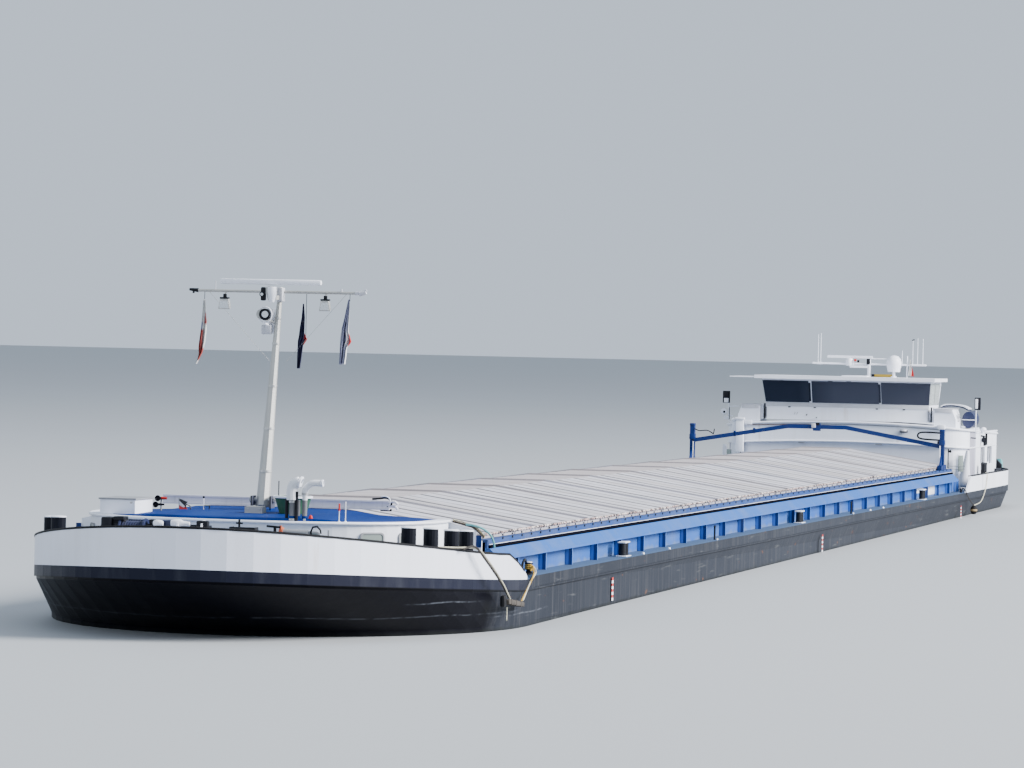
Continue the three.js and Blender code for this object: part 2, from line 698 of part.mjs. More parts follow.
function makeWheelhouse() {
  const { wall, floor, sill, head, eaves, mullion, half, aft, fore } = WHEELHOUSE;
  const lower = cut(
    prismZ(cabPlan(0), [floor - 4, sill]),
    prismZ(cabPlan(wall), [floor + 2, sill + 10]),
  );
  const upper = cut(
    prismZ(cabPlan(0), [sill, eaves], 1, cabBend),
    prismZ(cabPlan(wall), [sill - 1, eaves + 1], 1, cabBend),
  );
  const panes = [
    box([fore - 40, fore + 80], [-half + 8, -mullion - 4], [sill + 3, head - 2]),
    box([fore - 40, fore + 80], [-mullion + 4, mullion - 4], [sill + 3, head - 2]),
    box([fore - 40, fore + 80], [mullion + 4, half - 8], [sill + 3, head - 2]),
    box([aft + 12, aft + 136], [-half - 40, half + 40], [sill + 3, head - 2]),
    box([aft + 146, fore - 12], [-half - 40, half + 40], [sill + 3, head - 2]),
    box([aft - 10, aft + 20], [40, half - 12], [sill + 3, head - 2]),
    box([aft - 10, aft + 20], [-half + 12, -80], [sill + 3, head - 2]),
    box([aft - 10, aft + 20], CAB_DOOR.y, CAB_DOOR.z),
  ];
  return cut(join(lower, upper), ...panes);
}

function makeCabGlass() {
  const { wall, sill, head, aft } = WHEELHOUSE;
  const ring = cut(
    prismZ(cabPlan(wall + GAP), [sill + 1, head], 1, cabBend),
    prismZ(cabPlan(wall + GAP + 2), [sill - 1, head + 1], 1, cabBend),
  );
  return ring.subtract(box([aft - 10, aft + 20], [CAB_DOOR.y[0] - 6, CAB_DOOR.y[1] + 6], [690, 800]));
}

// On the wheelhouse roof: where along the ship, then where across it, and the half length of the yard
const ROOF_GEAR = { x: -4130, mast: 52, dome: 156, scanner: -29, yard: 236 };

function makeCabRoof() {
  const { eaves, roof } = WHEELHOUSE;
  const { x, mast, dome, scanner, yard } = ROOF_GEAR;
  const plate = box([-4186, -3805], [-373, 373], [eaves + GAP, roof]);
  const shelf = box([-4100, -3850], [-484, -365], [eaves + 3, eaves + 7]);
  const post = bar([x, mast, roof - 1], [x, mast, 881], 7, 7, 12);
  const spar = bar([x, mast - yard, 860], [x, mast + yard, 860], 4, 4, 8);
  const gearbox = join(
    box([x - 12, x + 12], [scanner - 15, scanner + 15], [853, 876]),
    box([x - 6, x + 6], [scanner, mast], [844, 854]),
    bar([x, scanner, 875], [x, scanner, 880], 8, 8, 12),
  );
  const ball = new THREE.SphereGeometry(31, 16, 8);
  ball.translate(x, dome, 868);
  const drum = bar([x, dome, 830], [x, dome, 868], 26, 31, 16);
  const stem = bar([x, dome, roof - 1], [x, dome, 832], 6, 6, 8);
  return join(plate, shelf, post, spar, gearbox, solid(ball), drum, stem);
}

function makeCabDoor() {
  const { y, z } = CAB_DOOR;
  return box([WHEELHOUSE.aft - 1, WHEELHOUSE.aft + 2], [y[0] + GAP, y[1] - 1.5], [z[0] + 1.5, z[1] - 1.5]);
}

function makeRam() {
  return bar([COLUMN.x, 0, COLUMN.ramFoot], [COLUMN.x, 0, WHEELHOUSE.floor - 4 - GAP], COLUMN.ram, undefined, 24);
}

// Screw and rudders

function makeScrew() {
  const hub = bar([SCREW.x + 30 - GAP, 0, SCREW.z], [SCREW.x - 26, 0, SCREW.z], 14, 10);
  const blade = new THREE.CylinderGeometry(24, 12, SCREW.radius - 8, 12);
  blade.scale(0.14, 1, 1);
  blade.rotateY(0.6);
  blade.translate(0, (SCREW.radius + 8) / 2, 0);
  let screw = hub;
  for (let i = 0; i < 4; i += 1) {
    const turned = blade.clone();
    turned.rotateX((i * Math.PI) / 2);
    turned.translate(SCREW.x, 0, SCREW.z);
    screw = screw.add(solid(turned));
  }
  return screw;
}

function makeRudder(y) {
  const { x, low, high, chord, ahead, stock } = RUDDER;
  const plan = [
    [x + ahead, y], [x + ahead - 10, y + 7], [x, y + 8], [x - chord + ahead, y],
    [x, y - 8], [x + ahead - 10, y - 7],
  ];
  return join(prismZ(plan, [low, high]), bar([x, y, high - 5], [x, y, 240], stock));
}

const hull = makeHull();
add("hull_bow", hullSection(hull, [SECTIONS.fore + GAP, BEYOND]), HULL_GREY);
add("hull_hold", hullSection(hull, [SECTIONS.aft, SECTIONS.fore]), HULL_GREY);
add("hull_stern", hullSection(hull, [-BEYOND, SECTIONS.aft - GAP]), HULL_GREY);
add("bow_bulwark", makeBowBulwark(), WHITE);
add("stern_bulwark", makeSternBulwark(), WHITE);
add("coaming_port", makeSideCoaming(), BLUE);
add("coaming_starboard", mirrored(makeSideCoaming()), BLUE);
add("coaming_fore", makeForeBulkhead([HOLD.fore + 4, HOLD.fore + 10]), WHITE);
add("coaming_aft", makeEndCoaming([HOLD.aft - 10, HOLD.aft - 4]), BLUE);

const pitch = (HOLD.fore - HOLD.aft) / COVERS.count;
for (let i = 0; i < COVERS.count; i += 1) {
  const fore = HOLD.fore - i * pitch - COVERS.gap / 2;
  const number = String(i + 1).padStart(2, "0");
  add(`hatch_cover_${number}`, makeCover([fore - pitch + COVERS.gap, fore]), COVER_GREY);
}

add("hatch_crane", makeGantry(), DEEP_BLUE);
add("fore_cabin", makeForeCabin(), WHITE);
add("fore_cabin_roof", makeForeRoof(), DEEP_BLUE);
add("gangplank", makeGangplank(), ALUMINIUM);
add("refuse_bin", makeBin(), GREEN);
add("deck_locker", makeLocker(), WHITE);
add("deck_locker_lid", makeLockerLid(), WHITE);
add("bow_mast", makeMast(), ALUMINIUM, { metal: 0.7 });
add("bow_scanner", makeScanner(SCANNER.x, SCANNER.y, [SCANNER.low, SCANNER.high], SCANNER.half), WHITE);
for (const winch of WINCHES) {
  add(`anchor_winch_${winch.side}`, makeWinchFrame(winch), BLACK);
  add(`winch_drum_${winch.side}`, makeWinchDrum(winch), WHITE);
}
add("deckhouse", makeDeckhouse(), WHITE);
add("deckhouse_roof", makeHouseRoof(), WHITE);
add("deckhouse_door", makeHouseDoor(), WHITE);
add("lift_column", makeColumn(), ALUMINIUM);
add("lift_ram", makeRam(), ALUMINIUM, { metal: 0.8, rough: 0.3 });
add("wheelhouse", makeWheelhouse(), WHITE);
add("wheelhouse_glass", makeCabGlass(), GLASS, { rough: 0.1, metal: 0 });
add("wheelhouse_roof", makeCabRoof(), WHITE);
add("wheelhouse_door", makeCabDoor(), WHITE);
add("roof_scanner", makeScanner(ROOF_GEAR.x, ROOF_GEAR.scanner, [880.3, 894], 94), WHITE);
add("screw", makeScrew(), BRONZE, { metal: 0.9, rough: 0.35 });
add("rudder_port", makeRudder(RUDDER.y), BLACK);
add("rudder_starboard", makeRudder(-RUDDER.y), BLACK);

export default barge;
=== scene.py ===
"""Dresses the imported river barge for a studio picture: paint, ropes, lamps, flags and fittings."""

import math
import random

import bmesh
import bpy
from mathutils import Matrix, Vector


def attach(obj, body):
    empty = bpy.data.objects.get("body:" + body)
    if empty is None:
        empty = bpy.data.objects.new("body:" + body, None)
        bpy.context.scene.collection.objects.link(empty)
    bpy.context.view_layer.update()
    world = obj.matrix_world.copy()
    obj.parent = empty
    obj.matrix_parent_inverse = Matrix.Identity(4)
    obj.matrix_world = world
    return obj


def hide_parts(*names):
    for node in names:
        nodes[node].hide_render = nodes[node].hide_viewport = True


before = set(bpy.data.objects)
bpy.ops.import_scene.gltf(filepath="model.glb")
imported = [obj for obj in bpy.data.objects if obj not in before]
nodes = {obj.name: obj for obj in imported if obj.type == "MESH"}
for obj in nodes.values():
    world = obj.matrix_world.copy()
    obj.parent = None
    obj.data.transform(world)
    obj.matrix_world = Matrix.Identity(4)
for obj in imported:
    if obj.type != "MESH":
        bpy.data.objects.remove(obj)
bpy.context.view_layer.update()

MM = 0.001  # the shapes below are worked out in millimetres
WATERLINE = 253  # amidships
TRIM = 0.0025  # the barge floats this much deeper aft, for each unit of length

# The camera's place and the three directions of its view, in metres
CAMERA_PLACE = (15.65, 3.0952, 0.9181)
CAMERA_RIGHT = (-0.22498382, 0.97410807, 0.02226545)
CAMERA_UP = (-0.00347243, -0.02365274, 0.9997142)
CAMERA_AHEAD = (-0.97435631, -0.2248422, -0.008704)
LENS, SENSOR = 168.8, 36.0

# Hull lines, as in the frame
BOW_START, BOW_REACH, BOW_EDGE, BOW_RISE, BOW_EASE = 4500, 1000, 354, 47, 4420
DECK, HALF_BEAM, HALF_LENGTH = 360, 572.5, 5500
STERN_START, STERN_REACH = -4610, 890
STERN_TOP = 423
RAIL_FOOT, RAIL_CURVE = 4510, 4664
RAIL_LOW, RAIL_HIGH, RAIL_RISE = 362, 421, 74  # the bow bulwark's top: at its foot, where it curves, and from there


def deck_line(x):
    if x < BOW_EASE:
        return DECK
    if x < BOW_START:
        return DECK + (BOW_EDGE - DECK) * (x - BOW_EASE) / (BOW_START - BOW_EASE)
    return BOW_EDGE + BOW_RISE * ((x - BOW_START) / BOW_REACH) ** 1.15


def bulwark_line(x):
    if x < RAIL_CURVE:
        share = max(0, x - RAIL_FOOT) / (RAIL_CURVE - RAIL_FOOT)
        return RAIL_LOW + (RAIL_HIGH - RAIL_LOW) * share**0.8
    return RAIL_HIGH + RAIL_RISE * ((x - RAIL_CURVE) / (HALF_LENGTH - RAIL_CURVE)) ** 1.3


def half_breadth(x, inset=0.0):
    """Half the hull's breadth at deck height."""
    if x > BOW_START:
        share = (x - BOW_START) / (BOW_REACH - inset)
        return (HALF_BEAM - inset) * math.sqrt(max(0, 1 - share**2))
    if x < STERN_START:
        share = (STERN_START - x) / (STERN_REACH - inset)
        return (HALF_BEAM - inset) * math.sqrt(max(0, 1 - share**2))
    return HALF_BEAM - inset


def steps(start, end, count):
    return [start + (end - start) * i / count for i in range(count + 1)]


# Finishes: each reads Object coordinates, in metres, and wears unevenly


class Finish:
    def __init__(self, name, colour, rough=0.45, metal=0.0, gloss=0.5):
        self.material = bpy.data.materials.new(name)
        self.material.use_nodes = True
        self.tree = self.material.node_tree
        self.shader = self.tree.nodes["Principled BSDF"]
        self.shader.inputs["Metallic"].default_value = metal
        self.shader.inputs["Roughness"].default_value = rough
        self.shader.inputs["Specular IOR Level"].default_value = gloss
        self.colour = self.node("ShaderNodeRGB").outputs[0]
        self.colour.default_value = (*colour, 1)
        self.rough = rough
        self.place = self.node("ShaderNodeTexCoord").outputs["Object"]
        self.height = None

    def node(self, kind, **settings):
        made = self.tree.nodes.new(kind)
        for key, value in settings.items():
            setattr(made, key, value)
        return made

    def feed(self, socket, value):
        if isinstance(value, bpy.types.NodeSocket):
            self.tree.links.new(value, socket)
        else:
            socket.default_value = value

    def maths(self, how, a, b=0.0):
        made = self.node("ShaderNodeMath", operation=how)
        for socket, value in zip(made.inputs, (a, b)):
            self.feed(socket, value)
        return made.outputs[0]

    def times(self, a, b):
        return self.maths("MULTIPLY", a, b)

    def plus(self, a, b):
        return self.maths("ADD", a, b)

    def minus(self, a, b):
        return self.maths("SUBTRACT", a, b)

    def size(self, a):
        return self.maths("ABSOLUTE", a)

    def axis(self, letter, source=None):
        split = self.node("ShaderNodeSeparateXYZ")
        self.feed(split.inputs[0], source or self.place)
        return split.outputs[letter]

    def facing(self, letter):
        return self.axis(letter, self.node("ShaderNodeNewGeometry").outputs["Normal"])

    def step(self, value, low, high, start=0.0, end=1.0):
        """Goes from start to end as the value goes from low to high."""
        made = self.node("ShaderNodeMapRange")
        for socket, number in zip(made.inputs, (value, low, high, start, end)):
            self.feed(socket, number)
        return made.outputs[0]

    def noise(self, scale, stretch=(1, 1, 1), detail=4, shift=0.0):
        mapping = self.node("ShaderNodeMapping")
        self.feed(mapping.inputs["Vector"], self.place)
        mapping.inputs["Scale"].default_value = stretch
        mapping.inputs["Location"].default_value = (shift, shift * 0.7, shift * 1.3)
        made = self.node("ShaderNodeTexNoise")
        self.feed(made.inputs["Vector"], mapping.outputs[0])
        made.inputs["Scale"].default_value = scale
        made.inputs["Detail"].default_value = detail
        return made.outputs["Fac"]

    def over(self, mask, colour):
        """Lays another colour over the finish where the mask is 1."""
        mix = self.node("ShaderNodeMix", data_type="RGBA")
        self.feed(mix.inputs["Factor"], mask)
        self.feed(mix.inputs["A"], self.colour)
        self.feed(mix.inputs["B"], colour if isinstance(colour, bpy.types.NodeSocket) else (*colour, 1))
        self.colour = mix.outputs["Result"]
        return self

    def duller(self, mask, rough):
        mix = self.node("ShaderNodeMix", data_type="FLOAT")
        self.feed(mix.inputs["Factor"], mask)
        self.feed(mix.inputs["A"], self.rough)
        self.feed(mix.inputs["B"], rough)
        self.rough = mix.outputs["Result"]
        return self

    def relief(self, value, depth):
        """Adds small height, in metres."""
        scaled = self.times(value, depth)
        self.height = scaled if self.height is None else self.plus(self.height, scaled)
        return self

    def weathered(self, dirt=(0.25, 0.22, 0.18), amount=0.3, scale=6.0, streaks=True):
        """Soft patches, fine speckle and streaks that run down."""
        patches = self.step(self.noise(scale, detail=5), 0.45, 0.75, 0, amount)
        self.over(patches, dirt)
        if streaks:
            runs = self.step(self.noise(scale * 9, (1, 1, 0.06), shift=3.1), 0.55, 0.8, 0, amount)
            self.over(runs, dirt)
        speckle = self.noise(scale * 40, shift=7.0)
        self.duller(self.step(speckle, 0.4, 0.7, 0, 0.5), 0.75)
        return self.relief(speckle, 0.0002)

    def done(self):
        self.feed(self.shader.inputs["Base Color"], self.colour)
        self.feed(self.shader.inputs["Roughness"], self.rough)
        if self.height is not None:
            bump = self.node("ShaderNodeBump")
            self.feed(bump.inputs["Height"], self.height)
            bump.inputs["Distance"].default_value = 1.0
            self.feed(self.shader.inputs["Normal"], bump.outputs[0])
        return self.material


def within(finish, value, low, high, soft=0.001):
    """A mask that is 1 between two values."""
    rising = finish.step(value, low - soft, low + soft)
    falling = finish.step(value, high - soft, high + soft, 1, 0)
    return finish.times(rising, falling)


def hull_paint():
    """Weathered grey aft, near black round the bow, with a lighter strake and a dark waterline."""
    paint = Finish("hull_paint", (0.026, 0.03, 0.04), rough=0.62, gloss=0.07)
    x, y, z = (paint.axis(a) for a in "XYZ")
    paint.over(paint.step(paint.noise(3, (1, 1, 2), detail=6), 0.4, 0.65, 0, 0.5), (0.017, 0.02, 0.028))
    paint.over(paint.step(x, 0.5, 4.2, 0, 0.4), (0.01, 0.012, 0.018))
    runs = paint.step(paint.noise(60, (1, 1, 0.05), detail=5, shift=2), 0.5, 0.75, 0, 0.45)
    paint.over(runs, (0.075, 0.076, 0.082))
    scuffs = paint.step(paint.noise(14, (0.4, 1, 6), detail=7, shift=5), 0.62, 0.72, 0, 0.5)
    paint.over(scuffs, (0.11, 0.115, 0.12))
    rust = paint.step(paint.noise(30, (0.6, 1, 1.5), detail=6, shift=9), 0.68, 0.74, 0, 0.6)
    paint.over(rust, (0.14, 0.06, 0.03))
    rise = paint.step(x, 4.5, 5.5, 0, BOW_RISE * MM)
    strake_height = paint.minus(z, rise)
    strake = paint.step(strake_height, 0.3275, 0.3295)
    wavy = paint.times(paint.noise(9), 0.12)
    black_from = paint.step(strake, 0, 1, 4.74, 4.5)
    bow = paint.step(paint.minus(paint.plus(x, wavy), black_from), 0, 0.09)
    paint.over(bow, (0.0014, 0.0014, 0.0042))
    paint.duller(bow, 0.42)
    marks = paint.step(paint.noise(7, (0.6, 1, 2.5), detail=8, shift=1.5), 0.58, 0.8, 0, 0.12)
    paint.over(paint.times(marks, bow), (0.05, 0.06, 0.085))
    bow_strake = paint.times(strake, bow)
    paint.over(bow_strake, (0.011, 0.0125, 0.024))
    wear = paint.step(paint.noise(25, (1, 1, 0.2), detail=6, shift=6), 0.5, 0.75, 0, 0.4)
    worn = paint.times(bow_strake, wear)
    paint.over(worn, (0.05, 0.053, 0.065))
    groove = within(paint, strake_height, 0.3245, 0.3275, 0.0005)
    paint.over(paint.times(groove, 0.7), (0.002, 0.002, 0.004))
    wave = paint.times(paint.noise(5, shift=3), 0.02)
    scratches = ((0.318, 4.86, 5.06, 0.42), (0.286, 4.6, 5.34, 0.2), (0.277, 4.3, 4.72, 0.3))
    for high, low_x, high_x, strength in scratches:
        line = within(paint, paint.minus(z, wave), high - 0.0125, high - 0.0095, 0.001)
        line = paint.times(line, within(paint, x, low_x, high_x, 0.05))
        line = paint.times(line, paint.step(paint.noise(45, shift=high * 9), 0.35, 0.6, 0, strength))
        paint.over(line, (0.2, 0.22, 0.26))
    trimmed = paint.plus(z, paint.times(x, TRIM))
    foul = paint.step(paint.plus(trimmed, paint.times(paint.noise(20), 0.02)), 0.274, 0.262)
    paint.over(paint.times(foul, 0.7), (0.012, 0.014, 0.013))
    flat = paint.step(paint.facing("Z"), 0.9, 0.97)
    deck = paint.times(flat, paint.step(z, 0.35, 0.353))
    low = paint.times(deck, paint.step(z, 0.402, 0.404, 1, 0))
    paint.over(low, (0.07, 0.115, 0.2))
    bollard = paint.times(paint.step(z, 0.4045, 0.4055), paint.step(x, 4.8, 4.81))
    paint.over(bollard, (0.008, 0.009, 0.014))
    paint.relief(paint.noise(400, shift=4), 0.0003)
    paint.relief(paint.noise(12, (1, 1, 0.3), detail=3), 0.0015)
    return paint.done()


def white_paint(name, colour):
    paint = Finish(name, colour, rough=0.4, gloss=0.35)
    paint.weathered((0.5, 0.47, 0.42), 0.16, 4)
    paint.over(paint.step(paint.noise(26, (1, 1, 0.1), detail=6, shift=5), 0.66, 0.8, 0, 0.45), (0.42, 0.3, 0.2))
    x, z = paint.axis("X"), paint.axis("Z")
    # painted shade: the front wall under the deckhead's overhang is darkened and tinted lilac
    deckhead_painted_shade = paint.times(within(paint, x, -3.875, -3.83), paint.step(z, 0.538, 0.533, 0, 0.5))
    paint.over(deckhead_painted_shade, (0.5, 0.51, 0.58))
    return paint.done()


def coaming_paint():
    paint = Finish("coaming_paint", (0.028, 0.105, 0.37), rough=0.5, gloss=0.1)
    z = paint.axis("Z")
    y = paint.size(paint.axis("Y"))
    paint.over(paint.step(paint.noise(5, (1, 1, 2), detail=6), 0.42, 0.62, 0, 0.5), (0.05, 0.14, 0.4))
    foot = paint.plus(z, paint.times(paint.noise(25, (1, 1, 0.4)), 0.03))
    paint.over(paint.step(foot, 0.385, 0.374, 0, 0.55), (0.16, 0.2, 0.26))
    paint.over(within(paint, z, 0.409, 0.433), (0.027, 0.105, 0.34))
    strip = paint.step(z, 0.4335, 0.4345)
    paint.over(strip, (0.018, 0.056, 0.2))
    # painted light and shade: the ribs' faces are painted lighter, the inner part of their sides light, and the outer
    # edge of their sides dark
    rib_painted_light = paint.times(paint.step(y, 0.5125, 0.514), paint.step(z, 0.4035, 0.4045, 1, 0))
    paint.over(paint.times(rib_painted_light, 0.6), (0.08, 0.2, 0.52))
    side = paint.times(rib_painted_light, paint.step(paint.size(paint.facing("X")), 0.6, 0.8))
    paint.over(side, (0.07, 0.21, 0.6))
    paint.over(paint.times(side, paint.step(y, 0.5195, 0.5215)), (0.012, 0.045, 0.2))
    paint.weathered((0.2, 0.21, 0.22), 0.22, 7)
    chips = paint.step(paint.noise(90, detail=6, shift=2), 0.7, 0.74, 0, 0.6)
    paint.over(chips, (0.14, 0.07, 0.045))
    return paint.done()


def cover_metal():
    metal = Finish("cover_metal", (0.62, 0.615, 0.68), rough=0.5, metal=0.15)
    metal.over(metal.step(metal.noise(2.2, (3, 0.6, 1), detail=6), 0.4, 0.66, 0, 0.5), (0.42, 0.37, 0.34))
    metal.over(metal.step(metal.noise(30, (3, 0.15, 1), detail=5, shift=3), 0.5, 0.72, 0, 0.4), (0.3, 0.28, 0.27))
    metal.over(metal.step(metal.noise(3, detail=6, shift=8), 0.6, 0.72, 0, 0.35), (0.36, 0.43, 0.5))
    hold_fore, cover_long, fold_start, two_folds = 4.67, 0.61846, 0.0436, 0.1187
    along = metal.maths("DIVIDE", metal.minus(hold_fore, metal.axis("X")), cover_long)
    in_cover = metal.times(metal.maths("FRACT", along), cover_long)
    in_fold = metal.maths("FRACT", metal.maths("DIVIDE", metal.minus(in_cover, fold_start), two_folds))
    # darker lines at every fold of the covers
    fold_lines = metal.times(metal.step(in_fold, 0.86, 0.95), metal.step(in_fold, 0.998, 0.97))
    uneven = metal.step(metal.noise(14, shift=5), 0.3, 0.6, 0.35, 0.8)
    metal.over(metal.times(fold_lines, uneven), (0.16, 0.155, 0.165))
    seam_starts, seam_wide = (0.143, 0.38), 0.02
    for start in seam_starts:
        seam = within(metal, in_cover, start, start + seam_wide, 0.004)
        uneven = metal.step(metal.noise(5, shift=start * 9), 0.35, 0.6, 0.6, 1)
        metal.over(metal.times(seam, uneven), (0.09, 0.09, 0.1))
    crown_outer, crown_inner = 0.098, 0.092
    crown = metal.step(metal.size(metal.axis("Y")), crown_outer, crown_inner, 0, 0.75)
    metal.over(crown, (0.5, 0.445, 0.44))
    # painted shade: faces that slope away from straight up are darkened
    low = metal.step(metal.facing("Z"), 0.97, 0.8, 0, 0.5)
    metal.over(low, (0.25, 0.24, 0.26))
    metal.duller(metal.step(metal.noise(150), 0.4, 0.7), 0.7)
    return metal.relief(metal.noise(200, shift=2), 0.0002).done()


def fore_roof_paint():
    """The fore cabin's roof: a glossy blue crown, a white rim, grey pipes with white hoods and a grey mast step."""
    paint = Finish("roof_paint", (0.005, 0.032, 0.18), rough=0.55, gloss=0.04)
    x, y, z = (paint.axis(a) for a in "XYZ")
    paint.over(paint.step(paint.noise(5, (1, 2, 1), detail=6), 0.4, 0.65, 0, 0.6), (0.003, 0.02, 0.13))
    paint.weathered((0.03, 0.07, 0.2), 0.3, 9, streaks=False)
    paint.over(paint.step(z, 0.4984, 0.4979), (0.85, 0.87, 0.95))
    pipes = paint.times(paint.step(x, 5.038, 5.04), paint.step(z, 0.5095, 0.5105))
    paint.over(pipes, (0.17, 0.17, 0.18))
    paint.over(paint.times(pipes, paint.step(z, 0.5455, 0.5465)), (0.8, 0.81, 0.84))
    wide = paint.size(y)
    cheeks = paint.times(within(paint, x, 4.793, 4.827), within(paint, wide, 0.02, 0.0255))
    paint.over(paint.times(cheeks, paint.step(z, 0.516, 0.517)), (0.1, 0.1, 0.1))
    box = paint.times(within(paint, x, 4.904, 4.941), within(paint, y, -0.007, 0.037))
    paint.over(paint.times(box, paint.step(z, 0.5065, 0.5075)), (0.45, 0.45, 0.45))
    return paint.done()


def plain(name, colour, rough=0.45, metal=0.0, dirt=(0.2, 0.18, 0.15), amount=0.2, scale=12.0, gloss=0.35):
    return Finish(name, colour, rough, metal, gloss).weathered(dirt, amount, scale).done()


def rope_fibre(name, colour):
    fibre = Finish(name, colour, rough=0.85)
    fibre.over(fibre.step(fibre.noise(90), 0.4, 0.7, 0, 0.6), tuple(c * 0.45 for c in colour))
    twist = fibre.node("ShaderNodeTexWave")
    fibre.feed(twist.inputs["Vector"], fibre.place)
    twist.inputs["Scale"].default_value = 160
    return fibre.relief(twist.outputs["Fac"], 0.0006).done()


def tinted_glass():
    glass = Finish("dark_glass", (0.012, 0.014, 0.024), rough=0.08)
    glass.over(glass.step(glass.noise(3), 0.4, 0.7, 0, 0.25), (0.03, 0.035, 0.045))
    # painted reflection: the panes are lighter towards port
    glass.over(glass.step(glass.axis("Y"), -0.2, -0.05, 0, 0.8), (0.075, 0.077, 0.1))
    glass.duller(glass.step(glass.noise(40, (1, 1, 0.2)), 0.5, 0.8, 0, 0.4), 0.2)
    return glass.done()


FINISHES = {
    "hull_paint": hull_paint(),
    "white_paint": white_paint("white_paint", (0.87, 0.9, 0.98)),
    # painted shade: a darker copy of the white paint, for the bow bulwark
    "bulwark_white_painted_shade": white_paint("bulwark_white_painted_shade", (0.76, 0.785, 0.88)),
    "coaming_paint": coaming_paint(),
    "cover_metal": cover_metal(),
    "crane_paint": plain("crane_paint", (0.003, 0.02, 0.12), 0.45, dirt=(0.06, 0.06, 0.08), gloss=0.2),
    "roof_paint": fore_roof_paint(),
    "mast_paint": plain("mast_paint", (0.46, 0.46, 0.44), 0.4, 0.4, dirt=(0.25, 0.24, 0.2)),
    "alloy": plain("alloy", (0.55, 0.55, 0.54), 0.38, 0.8),
    "steel": plain("steel", (0.5, 0.5, 0.5), 0.3, 0.9),
    "black_paint": plain("black_paint", (0.005, 0.006, 0.01), 0.4, dirt=(0.03, 0.03, 0.036), gloss=0.2),
    "rubber": plain("rubber", (0.005, 0.005, 0.007), 0.65, dirt=(0.02, 0.02, 0.02), gloss=0.2),
    "gloss_white": plain("gloss_white", (0.88, 0.9, 0.97), 0.22, dirt=(0.5, 0.48, 0.44), amount=0.12),
    "grey_paint": plain("grey_paint", (0.26, 0.27, 0.29), 0.5),
    "sill_paint": plain("sill_paint", (0.53, 0.54, 0.59), 0.5),
    "wall_shade": plain("wall_shade", (0.36, 0.36, 0.44), 0.5),
    "side_glass": plain("side_glass", (0.36, 0.4, 0.4), 0.12, amount=0.15, gloss=0.5),
    "dark_blue": plain("dark_blue", (0.012, 0.02, 0.07), 0.45),
    "glass": tinted_glass(),
    "pale_glass": plain("pale_glass", (0.26, 0.31, 0.29), 0.08, amount=0.1),
    "lens": plain("lens", (0.75, 0.78, 0.8), 0.05, 0.3, amount=0.05, gloss=0.5),
    "red": plain("red", (0.5, 0.02, 0.015), 0.4),
    "orange": plain("orange", (0.55, 0.12, 0.05), 0.7),
    "yellow": plain("yellow", (0.72, 0.46, 0.05), 0.5),
    "green": plain("green", (0.02, 0.1, 0.05), 0.45),
    "teal": plain("teal", (0.12, 0.36, 0.38), 0.5),
    "bronze": plain("bronze", (0.5, 0.32, 0.12), 0.35, 0.9, dirt=(0.12, 0.2, 0.12)),
    "tan_rope": rope_fibre("tan_rope", (0.36, 0.26, 0.13)),
    "pale_rope": rope_fibre("pale_rope", (0.6, 0.57, 0.45)),
    "dark_rope": rope_fibre("dark_rope", (0.035, 0.03, 0.026)),
    "gold_rope": rope_fibre("gold_rope", (0.55, 0.33, 0.05)),
    # painted shadow: nearly black and without sheen, for the coaming's shadow line
    "dull_shadow_black": plain("dull_shadow_black", (0.002, 0.002, 0.005), 0.85, dirt=(0.008, 0.008, 0.01), gloss=0.02),
    # painted light: a lighter, non-metallic copy of the alloy, for the gangplank whose face lies in shade
    "alloy_painted_light": plain("alloy_painted_light", (0.85, 0.82, 0.87), 0.5, 0.0, gloss=0.25),
    "plank": plain("plank", (0.045, 0.038, 0.032), 0.8, dirt=(0.14, 0.12, 0.1), amount=0.5, scale=40),
}

NODE_FINISHES = {
    "hull_bow": "hull_paint", "hull_hold": "hull_paint", "hull_stern": "hull_paint",
    "bow_bulwark": "bulwark_white_painted_shade", "stern_bulwark": "white_paint",
    "coaming_port": "coaming_paint", "coaming_starboard": "coaming_paint",
    "coaming_fore": "white_paint", "coaming_aft": "coaming_paint",
    "hatch_crane": "crane_paint", "fore_cabin": "white_paint", "fore_cabin_roof": "roof_paint",
    "gangplank": "alloy_painted_light", "refuse_bin": "green", "deck_locker": "white_paint", "deck_locker_lid": "grey_paint",
    "bow_mast": "mast_paint", "bow_scanner": "gloss_white",
    "anchor_winch_port": "black_paint", "anchor_winch_starboard": "black_paint",
    "winch_drum_port": "gloss_white", "winch_drum_starboard": "dark_blue",
    "deckhouse": "white_paint", "deckhouse_roof": "white_paint", "deckhouse_door": "white_paint",
    "lift_column": "steel", "lift_ram": "steel",
    "wheelhouse": "white_paint", "wheelhouse_glass": "glass", "wheelhouse_roof": "gloss_white",
    "wheelhouse_door": "white_paint", "roof_scanner": "gloss_white",
    "screw": "bronze", "rudder_port": "black_paint", "rudder_starboard": "black_paint",
}
NODE_FINISHES.update({f"hatch_cover_{i:02d}": "cover_metal" for i in range(1, 14)})
for name, finish in NODE_FINISHES.items():
    nodes[name].data.materials.clear()
    nodes[name].data.materials.append(FINISHES[finish])


# Shapes are made in millimetres on a bmesh, then laid in the frame in metres


def laid(name, data):
    """A new object in the scene."""
    made = bpy.data.objects.new(name, data)
    bpy.context.scene.collection.objects.link(made)
    return made


